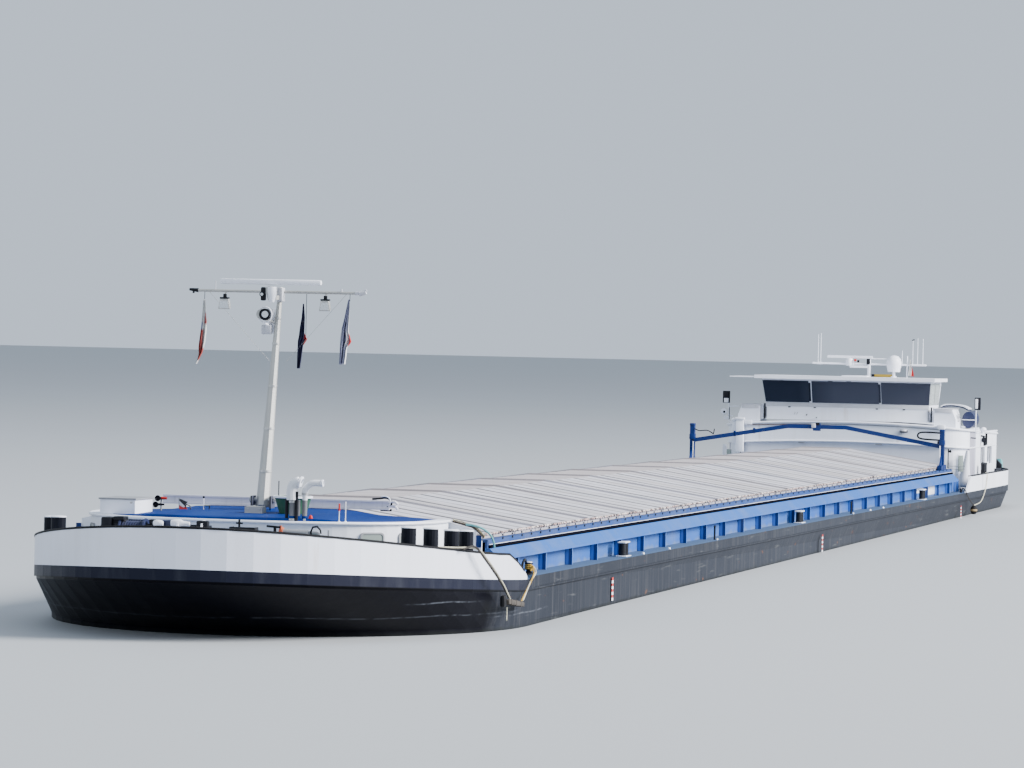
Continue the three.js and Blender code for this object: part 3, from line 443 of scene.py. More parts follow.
class Shape:
    def __init__(self):
        self.mesh = bmesh.new()

    def _edges(self, verts):
        chosen = set(verts)
        return [e for e in self.mesh.edges if e.verts[0] in chosen and e.verts[1] in chosen]

    def round_off(self, verts, edge, segments=2):
        bmesh.ops.bevel(
            self.mesh, geom=self._edges(verts), offset=edge, segments=segments,
            profile=0.5, affect="EDGES", material=-1, clamp_overlap=True,
        )
        return self

    def block(self, low, high, edge=0.0, turn=None):
        low, high = Vector(low), Vector(high)
        place = Matrix.Translation((low + high) / 2) @ (turn or Matrix()) @ Matrix.Diagonal((*(high - low), 1))
        verts = bmesh.ops.create_cube(self.mesh, size=1, matrix=place)["verts"]
        if edge:
            self.round_off(verts, edge)
        return self

    def rod(self, start, end, radius, tip=None, sides=16):
        start, end = Vector(start), Vector(end)
        along = end - start
        place = Matrix.Translation((start + end) / 2) @ along.to_track_quat("Z", "Y").to_matrix().to_4x4()
        bmesh.ops.create_cone(
            self.mesh, cap_ends=True, segments=sides, radius1=radius,
            radius2=radius if tip is None else tip, depth=along.length, matrix=place,
        )
        return self

    def ball(self, centre, radius, squash=(1, 1, 1), sides=16):
        place = Matrix.Translation(centre) @ Matrix.Diagonal((*(radius * s for s in squash), 1))
        bmesh.ops.create_uvsphere(self.mesh, u_segments=sides, v_segments=sides // 2, radius=1, matrix=place)
        return self

    def tube(self, points, radius, sides=10, closed=False):
        points = [Vector(p) for p in points]
        turn = (points[1] - points[0]).to_track_quat("Z", "Y")
        rings = []
        for i, point in enumerate(points):
            ahead = points[(i + 1) % len(points)] if closed else points[min(i + 1, len(points) - 1)]
            behind = points[i - 1] if closed or i else points[0]
            way = (ahead - behind).normalized()
            turn = (turn @ Vector((0, 0, 1))).rotation_difference(way) @ turn
            size = radius[i] if isinstance(radius, (list, tuple)) else radius
            cap = not closed and i in (0, len(points) - 1)
            place = Matrix.Translation(point) @ turn.to_matrix().to_4x4()
            rings.append(bmesh.ops.create_circle(
                self.mesh, cap_ends=cap, segments=sides, radius=size, matrix=place)["verts"])
        pairs = list(zip(rings, rings[1:])) + ([(rings[-1], rings[0])] if closed else [])
        for first, second in pairs:
            bmesh.ops.bridge_loops(self.mesh, edges=self._edges(first) + self._edges(second))
        return self

    def turned(self, centre, profile, sides=24, axis=(0, 0, 1)):
        """A profile of radius and height, spun round an axis through the centre."""
        lean = Vector(axis).to_track_quat("Z", "Y").to_matrix().to_4x4()
        place = Matrix.Translation(centre) @ lean
        verts = [self.mesh.verts.new(place @ Vector((r, 0, h))) for r, h in profile]
        edges = [self.mesh.edges.new(pair) for pair in zip(verts, verts[1:])]
        bmesh.ops.spin(
            self.mesh, geom=verts + edges, cent=centre, axis=Vector(axis), angle=math.tau,
            steps=sides, use_merge=True,
        )
        return self

    def slab(self, outline, depth, edge=0.0):
        """A flat outline pushed out along a direction."""
        face = self.mesh.faces.new([self.mesh.verts.new(p) for p in outline])
        pushed = bmesh.ops.extrude_face_region(self.mesh, geom=[face])["geom"]
        moved = [g for g in pushed if isinstance(g, bmesh.types.BMVert)]
        bmesh.ops.translate(self.mesh, verts=moved, vec=Vector(depth))
        if edge:
            self.round_off(list(face.verts) + moved, edge)
        return self

    def ribbon(self, path, section):
        """A closed section of offsets carried along a path: section(point, i) gives its corners."""
        rings = []
        for i, point in enumerate(path):
            verts = [self.mesh.verts.new(p) for p in section(Vector(point), i)]
            edges = [self.mesh.edges.new((verts[j - 1], verts[j])) for j in range(len(verts))]
            rings.append(edges)
            if i in (0, len(path) - 1):
                self.mesh.faces.new(verts)
        for first, second in zip(rings, rings[1:]):
            bmesh.ops.bridge_loops(self.mesh, edges=first + second)
        return self

    def both_sides(self):
        """Adds the mirror image across the ship's middle."""
        geom = list(self.mesh.verts) + list(self.mesh.edges) + list(self.mesh.faces)
        copy = bmesh.ops.duplicate(self.mesh, geom=geom)["geom"]
        verts = [g for g in copy if isinstance(g, bmesh.types.BMVert)]
        bmesh.ops.scale(self.mesh, vec=(1, -1, 1), verts=verts)
        return self

    def finish(self, name, finish, body="hull", smooth=40, slot=None):
        bmesh.ops.remove_doubles(self.mesh, verts=self.mesh.verts, dist=0.01)
        bmesh.ops.recalc_face_normals(self.mesh, faces=self.mesh.faces)
        bmesh.ops.scale(self.mesh, vec=(MM, MM, MM), verts=self.mesh.verts)
        mesh = bpy.data.meshes.new(name)
        self.mesh.to_mesh(mesh)
        self.mesh.free()
        mesh.materials.append(FINISHES[finish])
        made = laid(name, mesh)
        for polygon in mesh.polygons:
            polygon.use_smooth = True
        mesh.set_sharp_from_angle(angle=math.radians(smooth))
        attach(made, body)
        return made


def smooth_path(points, count):
    """Points along a smooth curve through the given ones."""
    points = [Vector(p) for p in points]
    ends = [points[0] * 2 - points[1]] + points + [points[-1] * 2 - points[-2]]
    path = []
    spans = len(points) - 1
    for i in range(count + 1):
        place = min(i / count * spans, spans - 1e-6)
        k, t = int(place), place - int(place)
        a, b, c, d = ends[k : k + 4]
        curve = (2 * b) + (c - a) * t + (2 * a - 5 * b + 4 * c - d) * t**2 + (3 * b - a - 3 * c + d) * t**3
        path.append(0.5 * curve)
    return path


def cord(name, path, radius, finish, far_end="object", lay="taut", body="hull", stiffness="limp", pieces=()):
    """A rope or hose along the given points."""
    path = [Vector(p) for p in path]
    made = Shape().tube(path, radius, 8).finish(name, finish, body)
    return made


def rope(name, points, radius, finish, count=30, **facts):
    return cord(name, smooth_path(points, count), radius, finish, **facts)


# Rails along the bulwarks' tops


def rail_path(ends, top, inset):
    """Points along both sides from one end, round the bow or stern, to the other."""
    port = [(x, half_breadth(x, inset), top(x)) for x in ends]
    return port + [(x, -y, z) for x, y, z in reversed(port[:-1])]


def cap_rail(name, xs, top, finish, half=7.8, tall=3.4):
    path = rail_path(xs, top, 7)

    def section(point, i):
        before, after = Vector(path[max(i - 1, 0)]), Vector(path[min(i + 1, len(path) - 1)])
        way = after - before
        out = Vector((way.y, -way.x, 0)).normalized()
        up = Vector((0, 0, 1))
        corners = [(-half, 0.8), (-half + 1.5, 1.8), (half - 1.5, 1.8), (half, 0.8), (half, -tall), (-half, -tall)]
        return [point + out * a + up * b for a, b in corners]

    Shape().ribbon(path, section).finish(name, finish, smooth=30)


def bow_steps():
    turns = steps(0, math.pi / 2, 20)
    return [BOW_START + (BOW_REACH - 7) * math.sin(t) for t in turns if BOW_START + BOW_REACH * math.sin(t) > 4680]


cap_rail("bow_cap_rail", [4540, 4570, 4610, 4664] + bow_steps(), bulwark_line, "rubber")
stern_turns = steps(0, math.pi / 2, 14)
stern_xs = [-3505, -4000, -4600] + [STERN_START - (STERN_REACH - 7) * math.sin(t) for t in stern_turns[1:]]
cap_rail("stern_cap_rail", stern_xs, lambda x: STERN_TOP, "rubber", 7.6, 1.8)

# Bollards' white tops on the bow
BOW_BOLLARDS = [(5060, 418, 116), (5000, 455, 116), (4912, 482, 114), (4850, 502, 114)]
tops = Shape()
for x, y, height in BOW_BOLLARDS:
    z = deck_line(x) - 4 + height
    tops.turned((x, y, z), [(0, 0.2), (18.6, 0.2), (18.8, 1.6), (16.5, 3.2), (0, 4.0)], 24)
tops.both_sides().finish("bollard_tops", "gloss_white")


# Stem to hold: fore deck gear, winches and the fore cabin


TRUNK_AFT, TRUNK_LONG, TRUNK_HALF = 4700, 390, 420
TRUNK_ROUND = 2.6  # 2 would make the wall's outline an ellipse


def trunk_edge(turn, inset=0.0):
    """A point on the fore cabin's wall, by the turn from straight ahead in degrees."""
    across, along = math.sin(math.radians(turn)), math.cos(math.radians(turn))
    power = 2 / TRUNK_ROUND
    side = 1 if across > 0 else -1
    x = TRUNK_AFT + (TRUNK_LONG - inset) * abs(along) ** power
    return Vector((x, side * (TRUNK_HALF - inset) * abs(across) ** power, 0))


def stays():
    """Triangular brackets that hold the bulwark up from the inside."""
    shape = Shape()
    for x in (4760, 4900, 5030, 5150, 5250, 5330, 5395):
        y, z = half_breadth(x, 8), deck_line(x)
        lean = Vector((-0.25, -1, 0)) if x > 5200 else Vector((0, -1, 0))
        foot, top = Vector((x, y, z + 0.4)), Vector((x, y, bulwark_line(x) - 14))
        shape.slab([foot, foot + lean * 32, top + lean * 4, top], (3, 0, 0))
    shape.both_sides().finish("bulwark_stays", "white_paint")


stays()


def port_light(name, turn, wide, low, high):
    """A window with rounded corners let into the fore cabin's wall."""
    for side, word in ((1, "port"), (-1, "starboard")):
        middle = trunk_edge(turn * side)
        along = (trunk_edge((turn - 2) * side) - trunk_edge((turn + 2) * side)).normalized()
        out = Vector((along.y, -along.x, 0)) * side
        out = out if out.dot(middle - Vector((TRUNK_AFT, 0, 0))) > 0 else -out
        up = Vector((0, 0, 1))

        def ring(half, tall, radius):
            corners = []
            for quarter, (cx, cz) in enumerate(((1, 1), (-1, 1), (-1, -1), (1, -1))):
                for part in range(4):
                    angle = math.pi / 2 * (quarter + part / 3)
                    corners.append((
                        cx * (half - radius) + radius * math.cos(angle),
                        cz * (tall - radius) + radius * math.sin(angle)))
            return corners

        middle = middle + up * (low + high) / 2
        tall = (high - low) / 2
        frame_shape, pane = Shape(), Shape()
        outer, inner = ring(wide / 2 + 3, tall + 3, 9), ring(wide / 2 - 1, tall - 1, 6)
        loops = []
        for corners, proud in ((outer, -2), (outer, 2.0), (inner, 2.6), (inner, -2)):
            verts = [frame_shape.mesh.verts.new(middle + along * a + up * b + out * proud) for a, b in corners]
            loops.append([frame_shape.mesh.edges.new((verts[i - 1], verts[i])) for i in range(len(verts))])
        for first, second in zip(loops, loops[1:] + loops[:1]):
            bmesh.ops.bridge_loops(frame_shape.mesh, edges=first + second)
        frame_shape.finish(f"{name}_frame_{word}", "grey_paint")
        pane.slab([middle + along * a + up * b - out * 1.2 for a, b in inner], out * 2.4)
        pane.finish(f"{name}_pane_{word}", "pale_glass")


port_light("fore_light_1", 44, 56, 432, 472)
port_light("fore_light_2", 61, 50, 432, 471)
port_light("fore_light_3", 79, 50, 430, 470)
port_light("fore_light_0", 20, 50, 434, 473)


def winch_gear():
    """Housings, warping head, cone, drum ridges and guard of the starboard anchor winch."""
    dark = Shape()
    dark.block((5318, -219, 452), (5362, -194, 506), 4)
    dark.block((5318, -214, 440), (5350, -166, 503), 3).block((5322, -191, 500), (5358, -166, 508), 2)
    dark.block((5330, -110, 440), (5346, -98, 503), 2).rod((5340, -122, 479), (5340, -60, 479), 7, 7, 16)
    dark.block((5300, -240, 404), (5375, -190, 416), 2)
    dark.finish("winch_housings", "black_paint")
    head = Shape()
    head.turned((5352, -98, 495), [(0, 0), (5, 0), (7.5, 3), (8, 12), (7, 19), (5, 22), (0, 22)], 20, (0, 1, 0))
    head.finish("warping_head", "gloss_white")
    cone = Shape()
    cone.turned((5352, -58, 496), [(0, 0), (8, 2), (9.5, 10), (9.5, 24), (6, 30), (4.5, 44), (0, 45)], 20, (0, 1, 0))
    cone.finish("winch_cone", "gloss_white")
    cable = Shape()
    for y in range(-170, -125, 6):
        ring = [(5340 + 17 * math.cos(t), y + t * 0.9, 479 + 17 * math.sin(t)) for t in steps(0, math.tau, 18)]
        cable.tube(ring, 3, 6)
    cable.finish("drum_ridges", "dark_blue", "winch_drum_starboard")
    navy = Shape().block((5304, -170, 440), (5316, -56, 501), 3).block((5316, -76, 470), (5330, -57, 502), 3)
    navy.finish("winch_guard", "dark_blue")


winch_gear()


def fore_deck_gear():
    black = Shape()
    black.block((5344, 4, 396), (5362, 31, 504), 3).rod((5352, -12, 492), (5352, 6, 492), 2.5)
    black.rod((5325, 94, 398), (5325, 94, 508), 2.5).rod((5325, 86, 500), (5325, 102, 500), 2)
    black.block((5335, 82, 398), (5366, 142, 404), 1.5)
    black.block((5360, 82, 403), (5366, 142, 493), 1.5)
    black.block((5335, 82, 403), (5366, 86, 493), 1.5).block((5335, 138, 403), (5366, 142, 493), 1.5)
    black.turned((5330, 158, 470), [(8, 0), (8.5, 8), (6, 13), (0, 15)], 20)
    black.rod((5330, 158, 397), (5330, 158, 471), 6)
    black.rod((5290, 167, 396), (5290, 167, 492), 3.5).rod((5290, 148, 494), (5290, 180, 492), 2.5)
    crook = [(248, 396), (248, 484), (252, 494), (262, 496), (270, 488), (271, 480)]
    black.tube([(5280, y, z) for y, z in crook], 2.2, 8)
    black.finish("fore_deck_fittings", "black_paint")
    turns = 19
    coil = [(5350 + 9.5 * math.cos(t), 112 + 21 * math.sin(t), 408 + 4.1 * t / math.tau)
            for t in steps(0, turns * math.tau, turns * 16)]
    cord("basket_rope", coil, 1.9, "pale_rope", "bare", "coiled")
    roll = Shape()
    roll.rod((5280, 184, 480), (5280, 241, 478), 9, 9, 20).rod((5280, 178, 484), (5280, 246, 482), 3)
    roll.finish("deck_roller", "grey_paint")
    reel = Shape()
    reel.rod((5280, 176, 480), (5280, 184, 480), 12, 12, 20).rod((5288, 180, 484), (5288, 180, 496), 3)
    reel.finish("deck_roller_ends", "orange")
    legs = Shape()
    legs.block((5274, 184, 396), (5286, 188, 472), 1).block((5274, 236, 396), (5286, 240, 470), 1)
    legs.rod((5270, 286, 396), (5270, 286, 488), 2).rod((5270, 300, 396), (5270, 300, 470), 1.6)
    legs.finish("deck_roller_legs", "grey_paint")


fore_deck_gear()


def roof_gear():
    """What stands on the fore roof, from horns to float, with the gangplank's hook and the bin's rim."""
    red = Shape()
    bells = Shape()
    bell = [(0, 0), (2, 0), (2.6, 6), (6.2, 10.5), (7.2, 12), (6, 12.4), (2, 8), (0, 8)]
    for y, z in ((-250, 533), (-255, 518)):
        bells.turned((4829, y, z), bell, 20, (1, 0.2, 0))
        bells.rod((4829, y, z), (4825, y + 8, z), 3, 3, 12)
    red.rod((4826, -243, 533), (4824, -230, 533), 3.6, 3, 12)
    bells.rod((4826, -248, 518), (4824, -236, 518), 3, 2, 12)
    bells.finish("horn_bells", "black_paint")
    red.finish("horn_bodies", "red")
    post = Shape()
    post.rod((4824, -244, 498), (4824, -244, 536), 2).rod((4824, -256, 517), (4824, -244, 517), 1.6)
    post.rod((4850, -192, 505), (4850, -192, 536), 1.2)
    post.finish("horn_post", "grey_paint")
    board = Shape()
    face = ((-191, 534), (-171, 527), (-176, 520), (-171, 508), (-191, 509))
    board.slab([(4850, y, z) for y, z in face], (1.0, 0, 0))
    board.finish("signal_pennant", "pennant")
    poles = Shape()
    for x, y, top in ((5045, 249.5, 540), (5036, 262, 543), (4850, -132, 537)):
        poles.rod((x, y, 498), (x, y, top), 1.1, 1.1, 10).ball((x, y, top), 1.6, sides=10)
        poles.turned((x, y, 498), [(3.4, 0), (3.4, 1.4), (1.6, 3), (0, 3)], 12)
    poles.finish("roof_stanchions", "gloss_white")
    float_red = Shape()
    float_red.rod((5045, 249.5, 524), (5045, 249.5, 541), 2.4, 2, 12)
    float_red.ball((5052, 184, 505), 6, (0.8, 0.8, 1.3), 14)
    float_red.finish("red_float", "red")
    wire = Shape()
    for points in (
        [(4930, -139, 512), (4930, -141, 520), (4930, -150, 524), (4930, -152, 516)],
        [(4850, -117, 520), (4850, -119, 509), (4850, -113, 503), (4850, -105, 500)],
        [(4850, -131, 519), (4850, -119, 519)],
    ):
        wire.tube(points, 1.3, 6)
    wire.ball((4850, -132, 539), 3, sides=12)
    wire.block((4688, 216, 521), (4691, 231, 526), 0.8).block((4688, 254, 513), (4691, 282, 519), 0.8)
    wire.rod((5063, 130, 499), (5063, 130, 549), 4, 4, 12)
    wire.rod((5066, 154, 499), (5066, 154, 566), 3.6, 3.6, 12)
    wire.rod((4900, 64, 545), (4900, 64, 584), 1.3, 1.3, 8)
    wire.finish("roof_fittings", "black_paint")
    hook, cleat = Shape(), Shape()
    bend = ((236, 541), (256, 543), (270, 545), (279, 541), (283, 533), (281, 526), (272, 524))
    hook.tube(smooth_path([(4697, y, z) for y, z in bend], 24), 2.4, 8)
    hook.rod((4697, 272, 524), (4697, 236, 525), 1.4)
    hook.finish("gangplank_hook", "black_paint")
    bend = [(4699, 258, 548), (4699, 270, 548), (4699, 278, 544), (4699, 281, 536), (4699, 279, 529)]
    cleat.tube(smooth_path(bend, 16), 1.6, 8).finish("gangplank_hook_face", "gloss_white")
    profile = [(43, 0), (46.5, 1), (46.5, 5), (44, 6), (41.8, 5.5), (41.8, 1), (43, 0)]
    rim = Shape().turned((4900, 99, 544.5), profile, 32)
    rim.finish("refuse_bin_rim", "gloss_white")


def pennant_paint():
    cloth = Finish("pennant", (0.6, 0.02, 0.02), 0.6)
    y, z = cloth.axis("Y"), cloth.axis("Z")
    notch = cloth.plus(z, cloth.times(cloth.size(cloth.plus(y, 0.181)), -0.5))
    cloth.over(cloth.step(notch, 0.5132, 0.5138), (0.75, 0.75, 0.74))
    slant = cloth.plus(z, cloth.times(y, 0.9))
    cloth.over(cloth.step(slant, 0.3565, 0.357), (0.012, 0.013, 0.016))
    return cloth.weathered(amount=0.1, scale=60).done()


FINISHES["pennant"] = pennant_paint()
roof_gear()


def trunk_trim():
    """The rounded white edge round the roof, and fittings of the mast box, the mast's pivot and the locker."""
    edge = [trunk_edge(t, -3) for t in steps(-90, 90, 48)]
    path = [(4690, -423, 494.7)] + [(p.x, p.y, 494.7) for p in edge[1:-1]] + [(4690, 423, 494.7)]
    shape = Shape().tube(path, 3.4, 8)
    shape.finish("fore_roof_edge", "gloss_white")
    lids = Shape()
    lids.block((4908, -2, 523.2), (4937, 33, 524.6), 0.6).rod((4922, 12, 524), (4922, 12, 526.5), 2.4)
    for y in (2, 30):
        lids.rod((4940, y, 508), (4941.6, y, 508), 1.6, 1.6, 8)
        lids.rod((4940, y, 519), (4941.6, y, 519), 1.6, 1.6, 8)
    lids.finish("mast_box_fittings", "alloy")
    bolts = Shape()
    for y in (-26, 26):
        side = 1 if y > 0 else -1
        bolts.rod((4810, y, 536), (4810, y + side * 4, 536), 8, 8, 6)
        bolts.rod((4810, y, 536), (4810, y + side * 6, 536), 4, 4, 12)
    bolts.finish("mast_pivot_nuts", "steel")
    locker = Shape()
    locker.rod((4850.5, -330, 534), (4850.5, -267, 534), 1.8)
    locker.block((4990.4, -268, 524), (4992, -262, 528), 0.4)
    locker.finish("locker_fittings", "steel")


trunk_trim()


def vents():
    """Lips round the mouths of the swan-neck vents, in white over steel pipes."""
    shape = Shape()
    shape.turned((5063, 160, 588), [(9, 0), (13.6, 0), (13.6, 4), (10, 5), (9, 2)], 20, (0, 1, -0.3))
    shape.turned((5055, 209, 586), [(5, 0), (8.4, 0), (8.4, 4), (6, 5), (5, 2)], 20, (0, 1, 0))
    shape.finish("vent_lips", "gloss_white")
    bands = Shape()
    for x, y, r, z in ((5063, 143, 7, 499), (5063, 143, 7, 540), (5055, 170, 6, 499), (5055, 170, 6, 558)):
        bands.turned((x, y, z), [(r - 1, 0), (r + 1.6, 0), (r + 1.6, 5), (r - 1, 5)], 20)
    bands.finish("vent_collars", "steel")


vents()


def mast_gear():
    """Lamps, searchlight and end fittings on the folding bow mast."""
    grey = Shape()
    grey.rod((4697, 184, 1025), (4697, 196, 1026), 4.5).rod((4697, 194, 1024), (4697, 210, 1028), 6.5, 5)
    grey.rod((4697, 205, 1026), (4697, 211, 1033), 3)
    grey.rod((4697, -160, 1025), (4697, -160, 1048), 1.2).rod((4697, 150, 1026), (4697, 150, 1034), 2)
    grey.rod((4697, -134, 1025), (4702, -134, 1008), 2).rod((4697, 113, 1025), (4702, 113, 1006), 2)
    grey.block((4712, -37, 924), (4726, -13, 946), 2.5).rod((4719, -26, 944), (4719, -26, 953), 3)
    grey.block((4690, -3, 1002), (4716, 10, 1035), 2)
    grey.finish("mast_fittings", "sill_paint", "bow_mast")
    dark = Shape().rod((4697, -202, 1025), (4697, -224, 1027), 5, 3)
    dark.rod((4697, -214, 1030), (4697, -214, 1018), 2.5)
    dark.block((4752, -30, 1003), (4763, -18, 1035), 3).rod((4763, -26, 1018), (4765, -26, 1018), 6, 6, 20)
    dark.rod((4706, -38, 926), (4706, -30, 930), 3)
    for y in (-134, 113):
        dark.block((4700, y - 4, 1007), (4708, y + 4, 1018), 1.5)
        dark.block((4700, y - 11, 1006), (4712, y + 11, 1010), 1)
    dark.finish("yard_end_and_horn", "black_paint", "bow_mast")
    housing = Shape().turned((4753, -5, 1000), [(0, 0), (6, 0), (8, 7), (10, 15), (11.5, 26), (11, 36), (0, 37)], 24)
    housing.block((4708, -22, 926), (4713, -8, 984), 1.5)
    housing.finish("scanner_housing", "gloss_white", "bow_mast")
    flood = Shape()
    for y, wide in ((-134, 15), (113, 14)):
        face = [(4700, y - wide, 984), (4700, y + wide, 984), (4700, y + wide - 4, 1008), (4700, y - wide + 4, 1008)]
        flood.slab(face, (12, 0, -3), 1.5)
    flood.finish("flood_lamps", "alloy", "bow_mast")
    glow = Shape()
    for y, wide in ((-134, 12), (113, 11)):
        face = ((y - wide, 984), (y + wide, 984), (y + wide - 3, 1001), (y - wide + 3, 1001))
        glow.slab([(4712.6, across, z) for across, z in face], (1.2, 0, 0))
    glow.rod((4742, -23, 971), (4745.4, -23, 971), 8, 8, 24).rod((4765, -26, 1018), (4765.8, -26, 1018), 3.5)
    glow.finish("lamp_glasses", "lens", "bow_mast")
    search = Shape()
    profile = [(0, 0), (9, 1), (13, 8), (13.8, 27), (12.4, 28), (11.4, 26.5), (0, 26)]
    search.turned((4717, -24, 971), profile, 28, (1, 0, 0))
    search.finish("searchlight", "black_paint", "bow_mast")
    yoke = Shape()
    ring = [(4739, -25 + 17 * math.sin(t), 970 + 18.5 * math.cos(t)) for t in steps(0, math.tau, 32)[:-1]]
    yoke.tube(ring, 1.8, 8, closed=True).rod((4739, -26, 951), (4722, -22, 946), 3.2)
    yoke.finish("searchlight_yoke", "gloss_white", "bow_mast")
    bands = Shape()
    for z in (600, 700, 800, 900, 960):
        x = 4810 - 115 * (z - 518) / 518
        size = 16.3 - 10.8 * (z - 518) / 518
        bands.turned((x, 0, z), [(size - 2, 0), (size + 0.8, 0), (size + 0.8, 5), (size - 2, 5)], 24)
    bands.finish("mast_bands", "alloy", "bow_mast")
    stay_wire = Shape()
    for y in (-176, 164):
        stay_wire.rod((4697, y, 1024), (4702, y * 0.12, 860), 0.5, 0.5, 6)
    stay_wire.finish("yard_stays", "steel", "bow_mast")
    scanner = Shape()
    scanner.block((4738, -134, 1041.2), (4752, 114, 1053.8), 4)
    made = scanner.finish("bow_scanner_bar", "gloss_white", "bow_scanner", slot="scanner_plastic")
    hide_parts("bow_scanner")


mast_gear()


def edge_at(edge, share):
    place = share * (len(edge) - 1)
    i = min(int(place), len(edge) - 2)
    return Vector(edge[i]).lerp(Vector(edge[i + 1]), place - i)


def hanging_flag(name, x, left, right, folds, finish, body, depth=4.5):
    """A flag that hangs limp in folds, between the outline of its left edge and its right edge."""
    rows, columns = 30, 14 * folds
    mesh = bmesh.new()
    grid = bmesh.ops.create_grid(mesh, x_segments=columns, y_segments=rows, size=0.5)["verts"]
    lean = random.Random(name).uniform(0, 3)
    for vert in grid:
        across, down = vert.co.x + 0.5, 0.5 - vert.co.y
        start, end = edge_at(left, down), edge_at(right, down)
        place = start.lerp(end, across)
        deep = depth * min(1, 0.25 + 1.6 * down)
        folded = math.sin(across * folds * math.tau + lean + 1.4 * down)
        wave = folded + 0.35 * math.sin(across * 3 + down * 9 + lean)
        vert.co = (x + deep * wave, place.x, place.y + 0.6 * math.sin(across * 9 + lean))
    bmesh.ops.recalc_face_normals(mesh, faces=mesh.faces)
    bmesh.ops.scale(mesh, vec=(MM, MM, MM), verts=mesh.verts)
    area = sum(f.calc_area() for f in mesh.faces)
    data = bpy.data.meshes.new(name)
    mesh.to_mesh(data)
    mesh.free()
    data.materials.append(FINISHES[finish])
    for polygon in data.polygons:
        polygon.use_smooth = True
    flag = laid(name, data)
    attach(flag, body)
    return flag


def flag_cloth(name, colour, patches):
    """Patches of colour, each with the limits across and up between which it lies, in metres."""
    cloth = Finish(name, colour, 0.85)
    y, z = cloth.axis("Y"), cloth.axis("Z")
    slant = cloth.plus(y, cloth.times(cloth.minus(z, 0.93), -0.09))
    height = cloth.plus(z, cloth.times(cloth.noise(30), 0.02))
    for patch, low_y, high_y, low_z, high_z in patches:
        across = within(cloth, slant, low_y, high_y, 0.0012)
        cloth.over(cloth.times(across, within(cloth, height, low_z, high_z, 0.003)), patch)
    cloth.over(cloth.step(cloth.noise(60), 0.5, 0.8, 0, 0.25), (0.16, 0.15, 0.15))
    return cloth.relief(cloth.noise(1500, detail=2), 0.0002).done()


# painted shade: the flags' white cloth is greyed
SHADED_WHITE, RED, NAVY, LILAC = (0.62, 0.62, 0.6), (0.32, 0.05, 0.04), (0.01, 0.01, 0.05), (0.34, 0.34, 0.46)
FINISHES["flag_starboard"] = flag_cloth("flag_starboard", SHADED_WHITE, [
    (RED, -0.186, -0.16, 0.955, 0.985), (LILAC, -0.25, -0.19, 0.93, 0.96), (RED, -0.195, -0.186, 0.885, 0.94),
    (RED, -0.192, -0.181, 0.87, 0.9)])
FINISHES["flag_middle"] = flag_cloth("flag_middle", NAVY, [((0.5, 0.015, 0.015), 0.064, 0.09, 0.9, 0.945)])
FINISHES["flag_port"] = flag_cloth("flag_port", LILAC, [
    ((0.66, 0.66, 0.68), 0.1655, 0.19, 0.86, 1.05), (NAVY, 0.1595, 0.1625, 0.87, 0.965),
    ((0.6, 0.6, 0.64), 0.14, 0.154, 0.85, 0.95), ((0.5, 0.02, 0.02), 0.1725, 0.19, 0.905, 0.94)])
hanging_flag(
    "flag_starboard", 4700,
    [(-188, 1003), (-190, 973), (-193, 935), (-196, 907), (-198, 888), (-198, 876), (-204, 850)],
    [(-183, 1003), (-180, 965), (-178, 953), (-179, 931), (-182, 902), (-188, 878), (-201, 851)],
    2, "flag_starboard", "bow_mast")
hanging_flag(
    "flag_middle", 4700,
    [(57, 998), (55, 966), (51, 942), (49, 920), (47, 909), (46, 880), (45, 845)],
    [(60, 998), (63, 966), (63, 930), (70, 914), (60, 900), (57, 875), (54, 845)],
    3, "flag_middle", "bow_mast", 3.5)
hanging_flag(
    "flag_port", 4700,
    [(168, 1010), (164, 990), (159, 965), (154, 943), (151, 920), (150, 898), (149, 876), (148, 856)],
    [(171, 1010), (172, 990), (172, 965), (171, 936), (178, 911), (167, 896), (166, 878), (164, 858)],
    3, "flag_port", "bow_mast")


def halyards():
    lines = Shape()
    for y, low in ((-186, 1000), (65, 914), (171, 1006)):
        lines.rod((4698, y, low), (4697, y, 1024), 0.7, 0.7, 6)
    lines.finish("halyards", "black_paint", "bow_mast")


halyards()


# Hold: what lines the coamings and the covers

HOLD_AFT, HOLD_FORE, COVER_COUNT, COVER_GAP = -3370, 4670, 13, 5
COVER_PITCH = (HOLD_FORE - HOLD_AFT) / COVER_COUNT


def cover_seal(number):
    """One cover's beaded sealing strips and hooks along both edges, and the cleats below them on the coaming."""
    fore = HOLD_FORE - number * COVER_PITCH - COVER_GAP / 2
    aft = fore - COVER_PITCH + COVER_GAP
    strip, hooks, cleats = Shape(), Shape(), Shape()
    path = [(x, 487.4, 461.5 + 1.6 * (i % 2)) for i, x in enumerate(steps(aft + 2, fore - 2, 40))]
    sizes = [3.3 - 0.9 * (i % 2) for i in range(len(path))]
    strip.tube(path, sizes, 8)
    for x in steps(aft + 50, fore - 50, 5):
        hooks.block((x - 2, 485.5, 453), (x + 2, 489, 457), 0.8)
        cleats.block((x - 4.5, 511, 449), (x + 4.5, 513.2, 454.4), 0.6)
    word = f"{number + 1:02d}"
    strip.both_sides().finish(f"cover_seal_{word}", "seal", f"hatch_cover_{word}")
    hooks.both_sides().finish(f"cover_hooks_{word}", "black_paint", f"hatch_cover_{word}")
    cleats.both_sides().finish(f"coaming_cleats_{word}", "black_paint")


def seal_strip():
    strip = Finish("seal", (0.62, 0.56, 0.53), 0.7)
    strip.over(strip.step(strip.noise(55, shift=2), 0.5, 0.54, 0, 0.85), (0.4, 0.24, 0.22))
    strip.over(strip.step(strip.noise(105, detail=3), 0.5, 0.54), (0.012, 0.01, 0.012))
    return strip.relief(strip.noise(300), 0.0004).done()


FINISHES["seal"] = seal_strip()
for cover_number in range(COVER_COUNT):
    cover_seal(cover_number)


